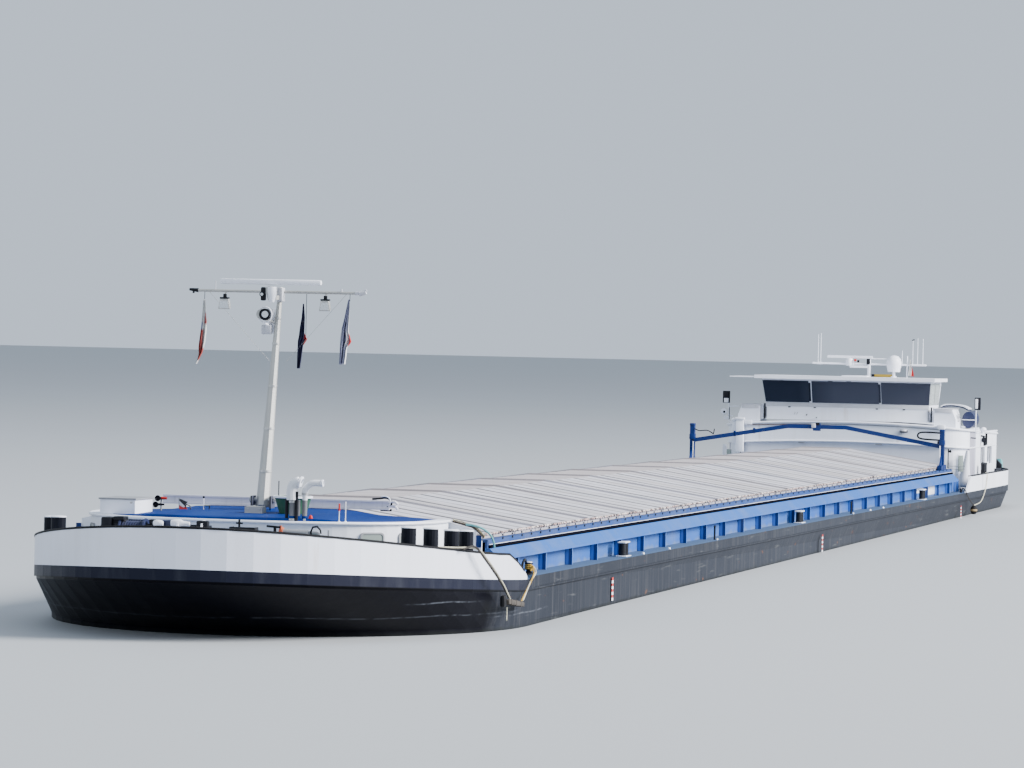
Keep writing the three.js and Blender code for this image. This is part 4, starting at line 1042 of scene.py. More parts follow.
def coaming_rail():
    """A white pipe along the coaming, and under it a near-black rod that stands for the painted shadow line above its
    sloping flange.
    """
    run = (HOLD_AFT + 8, HOLD_FORE - 8)
    white, black = Shape(), Shape()
    white.rod((run[0], 512, 440.6), (run[1], 512, 440.6), 0.7, 0.7, 8)
    # painted shadow: this black rod stands for the dark shadow line under the pipe
    black.rod((run[0], 514.4, 436), (run[1], 514.4, 436), 3.7, 3.7, 10)
    white.both_sides().finish("coaming_pipe", "gloss_white")
    black.both_sides().finish("coaming_shadow_rod", "dull_shadow_black")


coaming_rail()


def side_bollards():
    """Double bollards under the flange, in white frames on the side deck."""
    white, black = Shape(), Shape()
    for x in (3255, 472, -2294):
        white.block((x - 34, 533, 360.4), (x + 34, 561, 363), 1)
        white.block((x - 30, 536, 396), (x + 30, 558, 400), 1.2)
        white.block((x - 3, 541, 363), (x + 3, 545, 396), 0.5)
        for offset in (-17, 17):
            black.rod((x + offset, 547, 362), (x + offset, 547, 396.2), 9.5, 9.5, 16)
    for x in (1999, -527):
        black.rod((x, 556, 360.3), (x, 556, 402), 3).rod((x - 9, 556, 399), (x + 9, 556, 399), 2)
        white.rod((x - 6, 562, 360.3), (x - 6, 562, 364), 3.5)
    for x in (3080, 2720, -900, -1200):
        white.rod((x, 564, 360.3), (x, 564, 365), 4.5, 3.5, 12)
    white.both_sides().finish("side_bollard_frames", "gloss_white")
    black.both_sides().finish("side_bollards", "black_paint")
    plates = Shape()
    plates.block((-2640, 511.2, 380), (-2390, 512.6, 400), 0.5)
    plates.block((-2950, 511.2, 366), (-2700, 512.6, 400), 0.5)
    plates.finish("blank_plates", "gloss_white")


side_bollards()


def fairlead():
    """A roller in a black hoop where the bow bulwark ends."""
    for side, word in ((1, "port"), (-1, "starboard")):
        hoop, roller = Shape(), Shape()
        hoop.block((4356, side * 545 - 12, 360.4), (4462, side * 545 + 12, 363.4), 1)
        bend = ((4456, 548, 362), (4458, 548, 386), (4448, 549, 396), (4434, 549, 398), (4424, 549, 391))
        hoop.tube(smooth_path([(x, side * y, z) for x, y, z in bend], 18), 3.2, 8)
        hoop.finish(f"fairlead_hoop_{word}", "black_paint")
        profile = [(0, 0), (11, 0), (11, 2), (6.5, 5), (6.5, 20), (10.5, 23), (10.5, 25), (0, 26)]
        roller.turned((4388, side * 548, 363), profile, 20)
        roller.finish(f"fairlead_roller_{word}", "black_paint")
        cap = Shape().turned((4388, side * 548, 389), [(0, 0), (8, 0), (8, 2), (0, 3)], 20)
        cap.finish(f"fairlead_cap_{word}", "gloss_white")


fairlead()


def turns_round(x, y, low, radius, rise, turns, start):
    """Points of a rope's turns round an upright roller."""
    spread = steps(start, start + turns * math.tau, int(turns * 16))
    return [(x + radius * math.cos(t), y + radius * math.sin(t), low + rise * (t - start) / math.tau)
            for t in spread]


def draught_marks():
    """Short red and white blocks, one over another, without figures."""
    red, white = Shape(), Shape()
    for x, low, high in ((3500, 246, 316), (150, 255, 313), (-3230, 262, 312)):
        levels = steps(max(low, 256), high, 8)
        for i, (bottom, top) in enumerate(zip(levels, levels[1:])):
            for side in (1, -1):
                skin = side * 569.5 if bottom < 330 else side * 572.5
                inner, outer = sorted((skin, skin + side))
                (red if i % 2 else white).block((x - 9, inner, bottom), (x + 9, outer, top))
    red.finish("draught_blocks_red", "red")
    white.finish("draught_blocks_white", "gloss_white")


draught_marks()


# Fenders and their ropes


def bow_fender():
    plank = Shape()
    plank.block((4604, 575.5, 301.5), (4766, 589, 313), 2.5, Matrix.Rotation(-0.09, 4, "Y"))
    for x, tilt in ((4640, -4), (4690, 0.5), (4738, 4.5)):
        plank.block((x - 5, 574.8, 300.6 + tilt), (x + 5, 590, 314 + tilt), 1)
    plank = plank.finish("bow_fender", "plank")
    # painted shadow: a black rubber block stands for the shade beside the fender's fore end
    fender_shade_block = Shape().block((4770, 572, 302), (4794, 584, 330), 5).finish("bow_fender_shade_block", "rubber")
    eyes = Shape()
    for x, z in ((4729, 311), (4612, 300)):
        eyes.rod((x, 582, z), (x, 582, z + 9), 2.2)
    eyes = eyes.finish("bow_fender_eyes", "steel")
    path = [(5010, 462, 446), (4950, 500, 444), (4905, 541, 441), (4862, 558, 414), (4800, 578, 362),
            (4740, 583, 322), (4722, 583, 312), (4680, 583, 307), (4616, 583, 301)]
    rope("bow_fender_rope_fore", path, 2.0, "pale_rope", 50, far_end="fitting", pieces=[plank, eyes, fender_shade_block])
    path = [(4960, 522, 441.5), (4915, 539, 446), (4880, 556, 416), (4800, 576.5, 359), (4740, 581.5, 323)]
    rope("bow_fender_rope_dark", path, 2.4, "dark_rope")
    coil = turns_round(4388, 548, 371, 9.2, 4.3, 3, 0.6)
    lead = smooth_path([coil[-1], (4394, 559, 380), (4425, 568, 371), (4470, 577, 359), (4620, 583, 306)], 30)
    cord("bow_fender_rope_aft", coil + lead[1:], 2.1, "gold_rope")
    path = [(4374, 556, 380), (4400, 568, 370), (4440, 575, 363), (4500, 578.5, 349), (4608, 585, 309)]
    rope("bow_fender_lashing", path, 1.8, "pale_rope")
    path = [(4762, 582, 301), (4762, 582.5, 292), (4764, 583, 284), (4766, 583, 270)]
    rope("bow_fender_tail", path, 1.3, "pale_rope", far_end="bare", lay="hanging")


bow_fender()


def stern_fender():
    ball = Shape()
    ball.turned((-3500, 585, 270), [(0, 0), (8, 1), (12, 7), (13, 17), (12, 27), (7, 33), (3, 36), (0, 37)], 20)
    ball = ball.finish("stern_fender", "rubber")
    wrap = Shape().turned((-3500, 585, 283), [(13, 0), (14.2, 2), (14.2, 6), (13, 8), (13, 0)], 20)
    wrap = wrap.finish("stern_fender_band", "tan_rope")
    cleat = Shape().rod((-3322, 556, 360.4), (-3322, 556, 376), 5, 4)
    cleat.rod((-3340, 556, 375), (-3304, 556, 375), 3.2)
    cleat.finish("stern_cleat", "black_paint")
    path = [(-3990, 566, 426.5), (-3985, 574, 418), (-3940, 577, 382), (-3893, 579, 358), (-3800, 581, 328),
            (-3700, 583, 312), (-3500, 585, 306)]
    rope("stern_fender_rope_aft", path, 1.9, "pale_rope", far_end="fitting", pieces=[ball, wrap])
    path = [(-3318, 561, 379), (-3319, 573, 372), (-3345, 578, 350), (-3420, 582, 325), (-3496, 585, 306)]
    rope("stern_fender_rope_fore", path, 1.9, "dark_rope")


stern_fender()


def bulkhead_ropes():
    """Mooring ropes and a hose that lie along the top of the fore bulkhead."""
    def over_top(shift, lift, wander):
        heights = ((428, 491), (445, 487.5), (462, 483), (478, 478.5), (492, 468), (505, 456))
        return [(4677 + shift + wander * math.sin(i * 2.1 + shift), y, z + lift)
                for i, (y, z) in enumerate(heights)]

    rope("bulkhead_rope_gold", over_top(0, 2.6, 1), 2.2, "gold_rope", lay="loose")
    rope("bulkhead_rope_dark", over_top(6, 2.4, 1.2), 2.2, "dark_rope", lay="loose")
    rope("bulkhead_rope_pale", over_top(1.5, 7.2, 2), 2.0, "pale_rope", lay="loose")
    hose = [(4686, 462, 488), (4684, 484, 485), (4677, 503, 477), (4668, 517, 464), (4660, 523, 448), (4654, 524, 434)]
    rope("bulkhead_hose", hose, 2.6, "teal", lay="loose", stiffness="medium")


bulkhead_ropes()


# Hatch crane

CRANE_X = -3150


def crane_gear():
    grey = Shape()
    grey.block((CRANE_X - 16, -20, 606), (CRANE_X + 16, -3, 624), 3)
    grey.rod((CRANE_X, -20, 615), (CRANE_X, -24, 615), 7, 7, 20)
    grey.finish("crane_motor", "sill_paint", "hatch_crane")
    blue = Shape()
    for side in (1, -1):
        foot = side * 500
        for x in (-58, 58):
            blue.rod((CRANE_X + x, foot - 9, 463), (CRANE_X + x, foot + 9, 463), 9.5, 9.5, 20)
        blue.block((CRANE_X - 15, foot - 11, 548), (CRANE_X + 15, foot + 11, 570), 2)
        blue.block((CRANE_X - 15, foot - 10, 602), (CRANE_X + 15, foot + 10, 612), 3)
        for way in (1, -1):
            gusset = [(CRANE_X + way * x, foot - 3, z) for x, z in ((12, 470), (58, 470), (12, 510))]
            blue.slab(gusset, (0, 6, 0))
    for y in (-330, -252):
        z = 618 - (abs(y) - 115) * 66 / 385
        blue.block((CRANE_X - 8, y - 4, z - 17), (CRANE_X + 8, y + 4, z + 5), 1.5)
    blue.finish("crane_fittings", "crane_paint", "hatch_crane")
    black = Shape()
    loop = [(CRANE_X + 12, 492, 570), (CRANE_X + 13, 440, 572), (CRANE_X + 13, 412, 576), (CRANE_X + 13, 404, 586),
            (CRANE_X + 13, 412, 597), (CRANE_X + 13, 440, 600), (CRANE_X + 12, 492, 598)]
    black.tube(smooth_path(loop, 40), 3.4, 8).block((CRANE_X + 2, -2, 616), (CRANE_X + 14, 12, 627), 2)
    other = [(CRANE_X + 12, -490, 590), (CRANE_X + 13, -470, 583), (CRANE_X + 13, -440, 585), (CRANE_X + 13, -420, 576),
             (CRANE_X + 12, -414, 572), (CRANE_X + 12, -410, 592)]
    black.tube(smooth_path(other, 30), 2, 8)
    for side in (1, -1):
        black.rod((CRANE_X + 14, side * 494, 474), (CRANE_X + 14, side * 494, 548), 1.6)
    black.finish("crane_grab_rails", "rubber", "hatch_crane")
    pale = Shape().rod((CRANE_X + 19, 494, 472), (CRANE_X + 19, 494, 548), 1.8)
    pale.rod((CRANE_X + 19, -494, 472), (CRANE_X + 19, -494, 540), 1.4)
    pale.finish("crane_pipes", "gloss_white", "hatch_crane")


crane_gear()


# Deckhouse

HOUSE_FORE, HOUSE_AFT, HOUSE_HALF, HOUSE_CORNER = -3850, -4800, 500, 110
DECKHEAD, CAMBER_FORE, CAMBER_MORE_AFT = 625, 20, 24


def deckhead_top(x, y):
    along = (HOUSE_FORE - x) / (HOUSE_FORE - HOUSE_AFT)
    return DECKHEAD - (CAMBER_FORE + CAMBER_MORE_AFT * along) * (y / HOUSE_HALF) ** 2


def house_edge(inset):
    """Points round the deckhouse's sides and rounded front, from port aft to starboard aft."""
    corner, points = HOUSE_CORNER - inset, [(HOUSE_AFT, HOUSE_HALF - inset)]
    centre_x, centre_y = HOUSE_FORE - HOUSE_CORNER, HOUSE_HALF - HOUSE_CORNER
    points += [(x, HOUSE_HALF - inset) for x in (-4560, -4320, -4080)]
    points += [(centre_x + corner * math.cos(t), centre_y + corner * math.sin(t)) for t in steps(math.pi / 2, 0, 8)]
    points += [(HOUSE_FORE - inset, y) for y in steps(330, 0, 5)]
    return points + [(x, -y) for x, y in reversed(points[:-1])]


def house_trim():
    roof = Shape().tube([(x, y, deckhead_top(x, y) - 4) for x, y in house_edge(-7)], 4.6, 8)
    roof.finish("deckhead_edge", "gloss_white")
    course = Shape().tube([(x, y, 542 - 16 * (y / HOUSE_HALF) ** 2) for x, y in house_edge(-3)], 3.4, 8)
    course.finish("course_edge", "gloss_white")
    # painted shade: a grey line under the deckhead's edge and two grey marks on the front stand for shade
    dark = Shape()
    eave = [(x, y, deckhead_top(x, y) - 14) for x, y in house_edge(-1)]
    dark.tube([p for p in eave if -330 < p[1] < 400 and p[0] > -3853], 1.8, 6)
    for y in (-178, 142):
        dark.block((-3851, y - 13, 531), (-3846, y + 13, 535), 1)
    dark.finish("front_painted_shade", "grey_paint")
    pipe = Shape().tube([(-3844, -405, 601), (-3844, -330, 603), (-3844, -200, 606), (-3844, -60, 605)], 1.8, 8)
    pipe.finish("front_handrail", "copper")


FINISHES["copper"] = plain("copper", (0.14, 0.09, 0.075), 0.5)
house_trim()


def frame_bars(left, right, low, high, lap):
    """The four bars round an opening, as corners in its plane, that lap over its edge."""
    wide = 5
    foot, top = (left - wide, low - wide), (right + wide, high + wide)
    return (
        (foot, (right + wide, low + lap)), ((left - wide, high - lap), top),
        (foot, (left + lap, high + wide)), ((right - lap, low - wide), top),
    )


def house_window(name, x0, x1, z0, z1):
    """A pane and a pale frame in a side opening, on both sides of the deckhouse."""
    ring, pane = Shape(), Shape()
    y = HOUSE_HALF - 9
    for low, high in frame_bars(x0, x1, z0, z1, 1):
        ring.block((low[0], y - 2, low[1]), (high[0], y + 3.4, high[1]), 1)
    pane.block((x0 + 0.5, y - 4, z0 + 0.5), (x1 - 0.5, y - 2, z1 - 0.5), 0.4)
    ring.both_sides().finish(f"{name}_frames", "gloss_white")
    pane.both_sides().finish(f"{name}_panes", "house_glass")


FINISHES["house_glass"] = plain("house_glass", (0.13, 0.16, 0.2), 0.08, amount=0.1)
house_window("house_window_1", -4425, -4284, 456, 525)
house_window("house_window_2", -4655, -4498, 456, 525)


LEAN_OUT = Matrix(((1, 0, 0, 0), (0, 1, 0.09, -36), (0, 0, 1, 0), (0, 0, 0, 1)))  # leans to port with height


def house_front_corner():
    """Slit window, greenish pane and rounded bulge at the port front corner, with their starboard twins."""
    slit, pane, bulge = Shape(), Shape(), Shape()
    slit.rod((-3846, 430, 444), (-3846, 430, 522), 2.4, 2.4, 10).ball((-3844, 438, 512), 6, (0.6, 1, 1), 14)
    slit.rod((-3846, 430, 512), (-3846, 440, 512), 2)
    slit.both_sides().finish("corner_poles", "black_paint")
    rods = Shape()
    for z in (440, 452):
        rods.rod((-3842, 424, z), (-3842, 500, z + 2), 1.5, 1.5, 8)
    rods.both_sides().finish("corner_rails", "alloy")
    pane.block((-3858, 470, 430), (-3851, 491, 497), 2, Matrix.Rotation(0.35, 4, "Z"))
    pane.both_sides().finish("corner_panes", "pale_glass")
    profile = [(0, 0), (10, 0.5), (18, 4), (23, 12), (24.5, 25), (22.5, 45), (18, 68), (13.5, 95), (10, 130),
               (7, 150), (0, 151)]
    bulge.turned((-3880, 494, 367), profile, 28)
    bmesh.ops.transform(bulge.mesh, verts=bulge.mesh.verts, matrix=LEAN_OUT)
    bulge.both_sides().finish("corner_bulges", "white_paint")


house_front_corner()


def lamp_posts():
    """Posts and lamp boards at the deckhouse's front corners, most of them to starboard."""
    white, black = Shape(), Shape()
    white.block((-3846, -449, 488), (-3822, -417, 622), 2).block((-3850, -452, 620), (-3818, -414, 630), 2)
    white.block((-3846, -468, 520), (-3836, -452, 612), 2).ball((-3840, -462, 618), 11, (1, 1, 0.8))
    white.rod((-3850, -440, 560), (-3830, -440, 560), 4).rod((-3850, -440, 515), (-3830, -440, 515), 4)
    white.rod((-4000, -512, 611), (-4000, -512, 690), 2).rod((-4000, -512, 672), (-4000, -470, 674), 2)
    white.rod((-4000, -512, 636), (-4000, -494, 632), 2.4).rod((-4000, -500, 606), (-4000, -512, 613), 2.5)
    white.turned((-3996, -531, 650), [(0, 0), (12, 0), (13.5, 4), (11, 9), (0, 10)], 24, (1, 0, 0))
    white.block((-3996, -531, 688), (-3988, -513, 706), 1).block((-4004, -532, 619), (-3996, -510, 630), 2)
    white.rod((-4000, 520, 590), (-4000, 520, 700), 2).block((-3996, 517, 688), (-3988, 527, 727), 1)
    white.rod((-4000, 520, 690), (-4000, 530, 690), 2)
    white.finish("lamp_posts", "gloss_white")
    black.block((-4006, -538, 686), (-3996, -508, 736), 2).block((-4006, 513, 682), (-3996, 538, 733), 2)
    black.turned((-3987, -529, 649), [(0, 0), (5, 0), (5, 1.5), (0, 1.5)], 20, (1, 0, 0))
    black.block((-3996, -531, 709), (-3990, -513, 731), 1)
    black.rod((-3998, -509, 618), (-3998, -509, 668), 1.6, 1.6, 8)
    black.rod((-4002, -511, 668), (-4002, -512, 688), 1.6, 1.6, 8)
    black.finish("lamp_boards", "black_paint")


lamp_posts()


def port_corner_gear():
    """Searchlight, globe lamp, covered tender and awning at the port side."""
    black, white = Shape(), Shape()
    black.turned((-4290, 515, 557), [(0, 0), (9, 1), (11, 8), (11, 20), (0, 21)], 24, (1, 0.3, -0.2))
    black.block((-4292, 516, 530), (-4276, 526, 552), 2).rod((-4282, 503, 572), (-4282, 522, 568), 4)
    black.rod((-3990, 490, 568), (-3990, 523, 566), 2.6)
    black.finish("side_searchlight", "black_paint")
    marks = Shape().rod((-3960, 470, 560), (-3938, 472, 560), 5, 5, 12)
    marks.rod((-3975, 491, 555), (-3950, 496, 555), 4.5, 4.5, 12)
    marks.finish("side_marks", "grey_paint")
    white.turned((-4281, 510, 552), [(0, 0), (7, 0), (8.5, 3), (7, 6), (0, 6.5)], 20, (1, 0.3, -0.2))
    white.ball((-4250, 519, 599), 13, (1, 1, 0.75), 20).rod((-4250, 515, 580), (-4250, 519, 592), 6)
    white.finish("globe_lamp", "gloss_white")
    boat = Shape()
    rings = []
    for i, t in enumerate(steps(0, 1, 12)):
        width = 27 * (1 - 0.7 * max(0, 0.4 - t) ** 1.5 / 0.4**1.5)
        tall = 36 * (1 - 0.05 * t)
        centre = Vector((-4250 + 220 * t, 485, 606))
        verts = [boat.mesh.verts.new(centre + Vector((0, width * math.cos(a), tall * (1 + math.sin(a)))))
                 for a in steps(-math.pi / 2, 3 * math.pi / 2, 16)[:-1]]
        rings.append([boat.mesh.edges.new((verts[j - 1], verts[j])) for j in range(16)])
        if i in (0, 12):
            boat.mesh.faces.new(verts)
    for first, second in zip(rings, rings[1:]):
        bmesh.ops.bridge_loops(boat.mesh, edges=first + second)
    boat.finish("covered_tender", "dark_blue", smooth=60)
    rails = Shape()
    rails.tube([(-4026, 458, 641), (-4026, 490, 640), (-4030, 513, 640)], 1.6, 8)
    rails.block((-4230, 465, 588), (-4215, 505, 607), 2).block((-4080, 465, 592), (-4065, 505, 608), 2)
    rails.finish("tender_rails", "gloss_white")
    awning = Shape()
    bow = ((352, 694), (372, 702), (410, 703), (445, 697), (466, 687))
    arch = smooth_path([(-4150, y, z) for y, z in bow], 14)
    awning.ribbon(arch, lambda p, i: [p, p + Vector((-120, 0, -2)), p + Vector((-120, 0, -6)), p + Vector((0, 0, -5))])
    awning.finish("side_awning", "gloss_white")
    # painted shade: a dark blue sheet under the awning stands for its shade
    awning_shade = Shape()
    awning_shade.ribbon(arch, lambda p, i: [
        p + Vector((-2, 0, -5)), p + Vector((-118, 0, -7)), p + Vector((-118, 0, -13)), p + Vector((-2, 0, -11))])
    awning_shade.finish("side_awning_painted_shade", "dark_blue")
    legs = Shape()
    for x in (-4154, -4266):
        legs.rod((x, 462, 604), (x, 462, 686), 2)
    legs.finish("side_awning_legs", "alloy")


port_corner_gear()


def wing_trim():
    """Lids and grilles of the two boxes beside the wheelhouse, and guides and rails between them and it."""
    lid, grille = Shape(), Shape()
    lid.block((-4064, 358, 681), (-3881, 440, 685.5), 2)
    lid.block((-3886, 366, 668), (-3882, 436, 682), 1.5)
    lid.both_sides().finish("wing_lids", "sill_paint")
    for z in steps(632, 660, 5):
        grille.block((-4000, 451.6, z), (-3940, 453.6, z + 2.4), 0.4)
    grille.both_sides().finish("wing_grilles", "grey_paint")
    guides = Shape().block((-3925, 343.4, 626), (-3915, 349, 690), 1)
    guides.both_sides().finish("lift_guides", "black_paint")
    rails = Shape().block((-3925, 352, 626), (-3915, 361, 688), 1)
    for z in (650, 668):
        rails.block((-3924, 349, z), (-3918, 354, z + 5), 1)
    rails.both_sides().finish("lift_rails", "gloss_white")


wing_trim()


# Wheelhouse: what is on its roof, its front and its sides

WHEELHOUSE_FORE, SILL, HEAD = -3900, 699, 781


def wheelhouse_side(z):
    """Half the wheelhouse's breadth at a height by its windows, and the front's place."""
    share = (z - SILL) / (HEAD - SILL)
    return 339 + 9 * share, WHEELHOUSE_FORE + 35 * share


def wheelhouse_windows():
    """Dark panes bonded over the front's posts, pale ones over the sides, and a grey sill below them."""
    panes = Shape()
    low, high = SILL - 2, HEAD + 5
    for edges in ((-1, -157), (-145, 133), (143, 1)):
        corners = []
        for z, which in ((low, 0), (low, 1), (high, 1), (high, 0)):
            side, x = wheelhouse_side(z)
            y = edges[which]
            corners.append((x + 1.2, y * side if abs(y) == 1 else y, z))
        panes.slab(corners, (1.6, 0, 0))
    panes.finish("front_panes", "glass", "wheelhouse")
    sides = Shape()
    for side in (1, -1):
        (low_y, low_x), (high_y, high_x) = wheelhouse_side(low), wheelhouse_side(high)
        for fore, aft in ((0, -128), (-136, -268)):
            sides.slab([(low_x + fore - 2, side * (low_y + 0.4), low), (low_x + aft, side * (low_y + 0.4), low),
                        (high_x + aft, side * (high_y + 0.4), high), (high_x + fore - 2, side * (high_y + 0.4), high)],
                       (0, side * 1.4, 0))
    sides.finish("side_panes", "side_glass", "wheelhouse")
    sill = Shape().block((-3900.5, -339, 679), (-3897.5, 339, 696.5), 0.8)
    sill.finish("front_sill", "sill_paint", "wheelhouse")
    clips = Shape()
    for y in (-240, -134, 124, 236):
        clips.block((-3900, y - 5, 675), (-3896, y + 5, 679), 0.8)
    clips.rod((-3900, -169, 645), (-3894, -166, 647), 2.5).rod((-3900, -126, 636), (-3895, -126, 636), 2)
    for y in (-66, 10):
        clips.block((-3880, y - 10, 786), (-3862, y + 10, 791), 1)
    for side in (1, -1):
        clips.block((-3900, side * 335, 630), (-3896, side * 338, 676), 0.4)
    clips.finish("front_clips", "black_paint", "wheelhouse")
    wipers = Shape()
    for y in (-219, -209):
        wipers.rod((-3897.5, y, 646), (-3897.5, y + 4, 657), 0.8, 0.8, 6)
    wipers.block((-3872, 335, 778), (-3864, 350, 786), 1)
    wipers.finish("front_marks", "grey_paint", "wheelhouse")


wheelhouse_windows()


def wheelhouse_roof_gear():
    white, black, yellow, thin = Shape(), Shape(), Shape(), Shape()
    gear_x = -4130
    for y, top in ((-163, 980), (-152, 984), (234, 965), (254, 972), (276, 970), (190, 919)):
        thin.rod((gear_x, y, 862), (gear_x, y, top), 1.5, 1.1, 8)
    thin.rod((gear_x, -166, 860), (gear_x, -146, 860), 5, 5, 12).ball((gear_x, -184, 860), 4, sides=12)
    thin.ball((gear_x, 288, 860), 4, sides=12).rod((gear_x, 59, 883), (gear_x, 132, 883), 2.2, 2.2, 10)
    thin.finish("aerials", "gloss_white", "wheelhouse")
    white.block((-4160, -52, 806), (-4060, 56, 811.5), 1.5)
    white.rod((gear_x, 211, 806), (gear_x, 212, 897), 2.8, 2, 12)
    white.rod((gear_x, 52, 806), (gear_x, 52, 815), 14, 8, 20)
    white.rod((gear_x, 156, 806), (gear_x, 156, 812), 12, 12, 20)
    white.turned((gear_x + 2, -30, 852), [(0, 0), (13, 0), (15, 4), (15, 24), (12, 30), (0, 31)], 24)
    white.turned((gear_x, 156, 868), [(0, -32), (24, -32), (30, -18), (31.6, 0), (28, 15), (18, 27), (0, 31.6)], 28)
    white.finish("roof_equipment", "gloss_white", "wheelhouse")
    black.block((gear_x - 8, 42, 858), (gear_x + 10, 57, 882), 2)
    black.block((gear_x + 2, 64, 808), (gear_x + 10, 76, 819), 1.5)
    black.block((gear_x + 12, 4, 866), (gear_x + 18, 13, 876), 1)
    black.rod((gear_x, 230, 962), (gear_x, 240, 966), 2.5)
    black.finish("roof_boxes", "black_paint", "wheelhouse")
    red = Shape().block((gear_x + 6, -10, 870), (gear_x + 16, 0, 880), 1.5)
    red.finish("scanner_mark", "red", "wheelhouse")
    yellow.rod((gear_x - 10, 73, 812.5), (gear_x - 10, 151, 812.5), 6.5, 6.5, 16)
    yellow.finish("roof_float", "yellow", "wheelhouse")
    FINISHES["flag_stern"] = flag_cloth("flag_stern", SHADED_WHITE, [((0.6, 0.04, 0.04), 0.2395, 0.26, 0.8, 0.9)])
    hanging_flag(
        "flag_stern", gear_x + 4, [(224, 882), (223, 866), (221, 845), (219, 828), (218, 815)],
        [(227, 882), (230, 862), (236, 842), (240, 826), (242, 812)], 2, "flag_stern", "wheelhouse", 3)


wheelhouse_roof_gear()


# Deckhouse sides and stern deck


def side_casing():
    """A casing that stands proud of the deckhouse's side round its windows, and a panel of painted shade in the recess
    ahead of it.
    """
    case = Shape()
    for aft, fore, low, high in ((-4284, -4127, 415, 586), (-4498, -4425, 415, 586), (-4800, -4655, 415, 586),
                                 (-4655, -4284, 530, 586), (-4655, -4284, 415, 451)):
        case.block((aft - 0.5, 498, low), (fore + 0.5, 505, high))
    case.block((-4800, 496, 584), (-4127, 509, 590), 1.5)
    case.both_sides().finish("side_casing", "white_paint")
    # painted shade: a thin lilac-grey panel on the wall ahead of the casing
    recess = Shape().block((-4127, 493, 372), (-3975, 500.8, 590), 0.5)
    recess.both_sides().finish("side_recess_painted_shade", "wall_shade")


side_casing()


def stern_deck_gear():
    """Bollards and chests at the stern, the coaming's tail and fore corner, and caps and a lamp on the front."""
    black, teal = Shape(), Shape()
    for x, y in ((-4200, 531), (-4400, 506)):
        black.rod((x - 14, y, 361), (x - 14, y, 458), 11, 11, 20)
        black.rod((x + 14, y, 361), (x + 14, y, 458), 11, 11, 20)
        black.block((x - 30, y - 14, 360.3), (x + 30, y + 14, 364), 1)
    black.slab([(-4900, 484, 361), (-4900, 516, 361), (-4900, 516, 440), (-4900, 486, 468)], (-30, 0, 0), 1.5)
    black.both_sides().finish("stern_bollards", "black_paint")
    teal.block((-5030, 480, 361), (-4990, 506, 455), 3).block((-5026, 484, 455), (-4994, 502, 462), 2)
    teal.both_sides().finish("stern_chests", "teal")
    end = Shape()
    end.block((-3560, 505, 361), (-3378, 512.6, 409.5), 0.6)
    for x in (-3420, -3500):
        end.block((x - 3, 512, 361), (x + 3, 522, 405), 0.4)
    end.both_sides().finish("coaming_tail", "coaming_paint")
    corner = Shape().block((4680.3, 486, 434), (4684, 499, 463), 1)
    corner.both_sides().finish("coaming_corner", "crane_paint")
    cap = Shape().block((-3846, 384, 601), (-3832, 415, 620), 2)
    cap.both_sides().finish("front_caps", "gloss_white")
    lamp_body = Shape().block((-3846, 225, 574), (-3834, 240, 592), 2)
    lamp_body.rod((-3838, 246, 590), (-3838, 246, 597), 17, 15, 20)
    lamp_body.finish("front_lamp_body", "sill_paint")
    dark = Shape().block((-3846, 231, 584), (-3828, 262, 596), 3)
    dark.block((-3846, 384, 536), (-3842, 396, 553), 1)
    dark.finish("front_lamp", "black_paint")


stern_deck_gear()


def aft_gear():
    """What the photograph doesn't show: windows, handles and mooring gear at the stern."""
    frames, panes = Shape(), Shape()
    for y0, y1 in ((-400, -270), (-190, -60), (270, 400)):
        for low, high in frame_bars(y0, y1, 440, 510, 0):
            frames.block((-4796, low[0], low[1]), (-4791.5, high[0], high[1]), 1)
        panes.block((-4794, y0, 440), (-4791.5, y1, 510), 0.5)
    frames.finish("aft_window_frames", "grey_paint")
    panes.finish("aft_window_panes", "house_glass")
    handle = Shape().rod((-4793, 194, 452), (-4800, 194, 452), 2).rod((-4800, 194, 452), (-4800, 180, 452), 2)
    handle.finish("deckhouse_door_handle", "steel", "deckhouse_door")
    knob = Shape().rod((-4181, 10, 700), (-4188, 10, 700), 2).rod((-4188, 10, 700), (-4188, -4, 700), 2)
    knob.finish("wheelhouse_door_handle", "steel", "wheelhouse_door")
    winch = Shape().block((-5110, -58, 360.5), (-5046, 58, 370), 2)
    for y in (-50, 50):
        winch.block((-5092, y - 4, 368), (-5064, y + 4, 414), 3)
    winch.rod((-5078, -64, 400), (-5078, 64, 400), 6, 6, 16)
    winch.finish("stern_winch", "black_paint")
    profile = [(0, 0), (24, 0), (24, 4), (14, 6), (14, 82), (24, 84), (24, 88), (0, 88)]
    drum = Shape().turned((-5078, -44, 400), profile, 28, (0, 1, 0))
    drum.finish("stern_winch_drum", "dark_blue")
    hatch = Shape().block((-4970, -250, 360.5), (-4900, -180, 374), 3)
    hatch.rod((-4972, -215, 378), (-4972, -200, 378), 2)
    hatch.finish("stern_deck_hatch", "gloss_white")
    top = deckhead_top(-4600, 0)
    raft = Shape().rod((-4600, -62, top + 36), (-4600, 62, top + 36), 27, 27, 28)
    raft.finish("raft_case", "gloss_white")
    cradle = Shape()
    for y in (-40, 40):
        cradle.block((-4622, y - 4, top - 3), (-4578, y + 4, top + 16), 1.5)
        cradle.rod((-4600, y - 3, top + 36), (-4600, y + 3, top + 36), 27.8, 27.8, 28)
    cradle.finish("raft_cradle", "alloy")


aft_gear()


# Stage

FLOOR_HALF, FLOOR_SHIFT = 90, -20

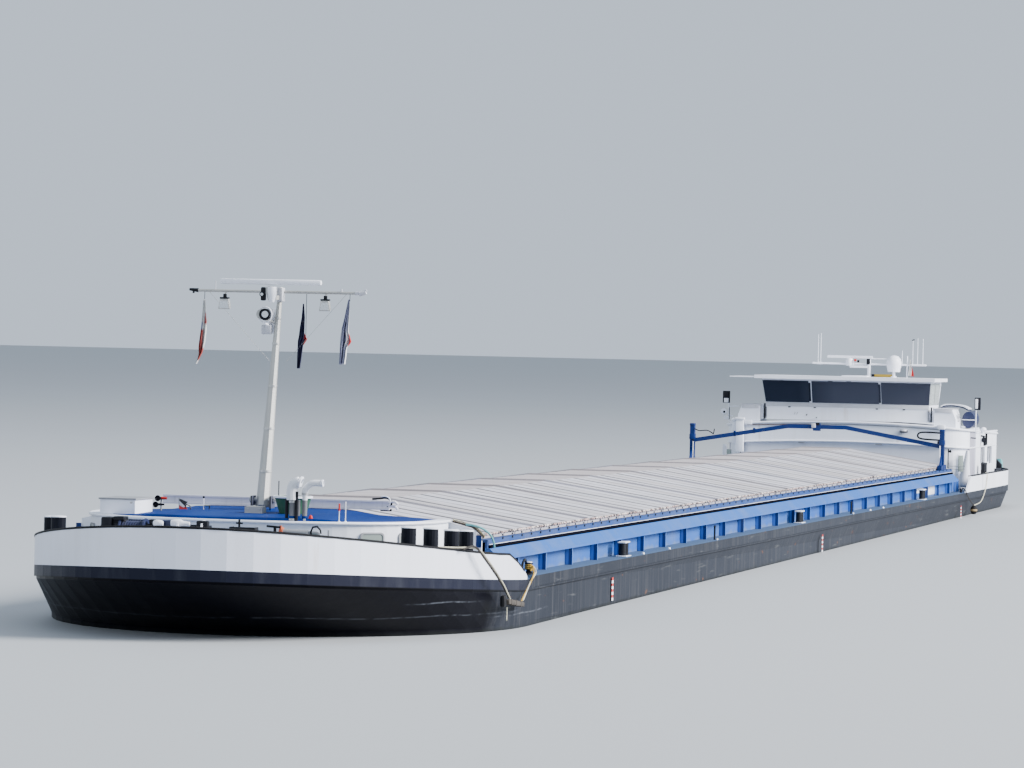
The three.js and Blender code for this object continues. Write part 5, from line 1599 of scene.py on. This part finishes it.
floor_mesh = bmesh.new()
bmesh.ops.create_grid(floor_mesh, x_segments=1, y_segments=1, size=FLOOR_HALF)
bmesh.ops.translate(floor_mesh, verts=floor_mesh.verts, vec=(FLOOR_SHIFT, 0, 0))
bmesh.ops.rotate(floor_mesh, verts=floor_mesh.verts, cent=(0, 0, 0), matrix=Matrix.Rotation(TRIM, 3, "Y"))
bmesh.ops.translate(floor_mesh, verts=floor_mesh.verts, vec=(0, 0, WATERLINE * MM))
floor_data = bpy.data.meshes.new("studio_floor")
floor_mesh.to_mesh(floor_data)
floor_mesh.free()
floor = laid("studio_floor", floor_data)
floor_finish = Finish("studio_floor", (0.4, 0.42, 0.44), rough=0.7)
floor_finish.over(floor_finish.step(floor_finish.noise(0.4), 0.3, 0.7, 0, 0.2), (0.37, 0.39, 0.41))
floor_data.materials.append(floor_finish.done())

world = bpy.data.worlds.new("studio")
world.use_nodes = True
world.node_tree.nodes["Background"].inputs["Color"].default_value = (0.73, 0.845, 1, 1)
world.node_tree.nodes["Background"].inputs["Strength"].default_value = 0.93
bpy.context.scene.world = world


def lamp(name, place, aim, size, power, colour=(1, 1, 1)):
    data = bpy.data.lights.new(name, "AREA")
    data.shape, data.size, data.energy, data.color = "DISK", size, power, colour
    turn = (Vector(aim) - Vector(place)).to_track_quat("-Z", "Y")
    laid(name, data).matrix_world = Matrix.Translation(place) @ turn.to_matrix().to_4x4()


lamp("key_light", (1, 24, 14), (0, 0, 0.3), 14, 26500, (1, 0.985, 0.975))
lamp("fill_light", (14, -12, 6), (2, 0, 0.3), 9, 400, (0.9, 0.95, 1))

camera_data = bpy.data.cameras.new("camera")
camera_data.lens, camera_data.sensor_width = LENS, SENSOR
camera_data.clip_end = 300
camera = laid("camera", camera_data)
axes = zip(CAMERA_RIGHT, CAMERA_UP, (-a for a in CAMERA_AHEAD))
camera.matrix_world = Matrix.Translation(CAMERA_PLACE) @ Matrix([list(row) for row in axes]).to_4x4()
bpy.context.scene.camera = camera

bpy.context.view_layer.update()
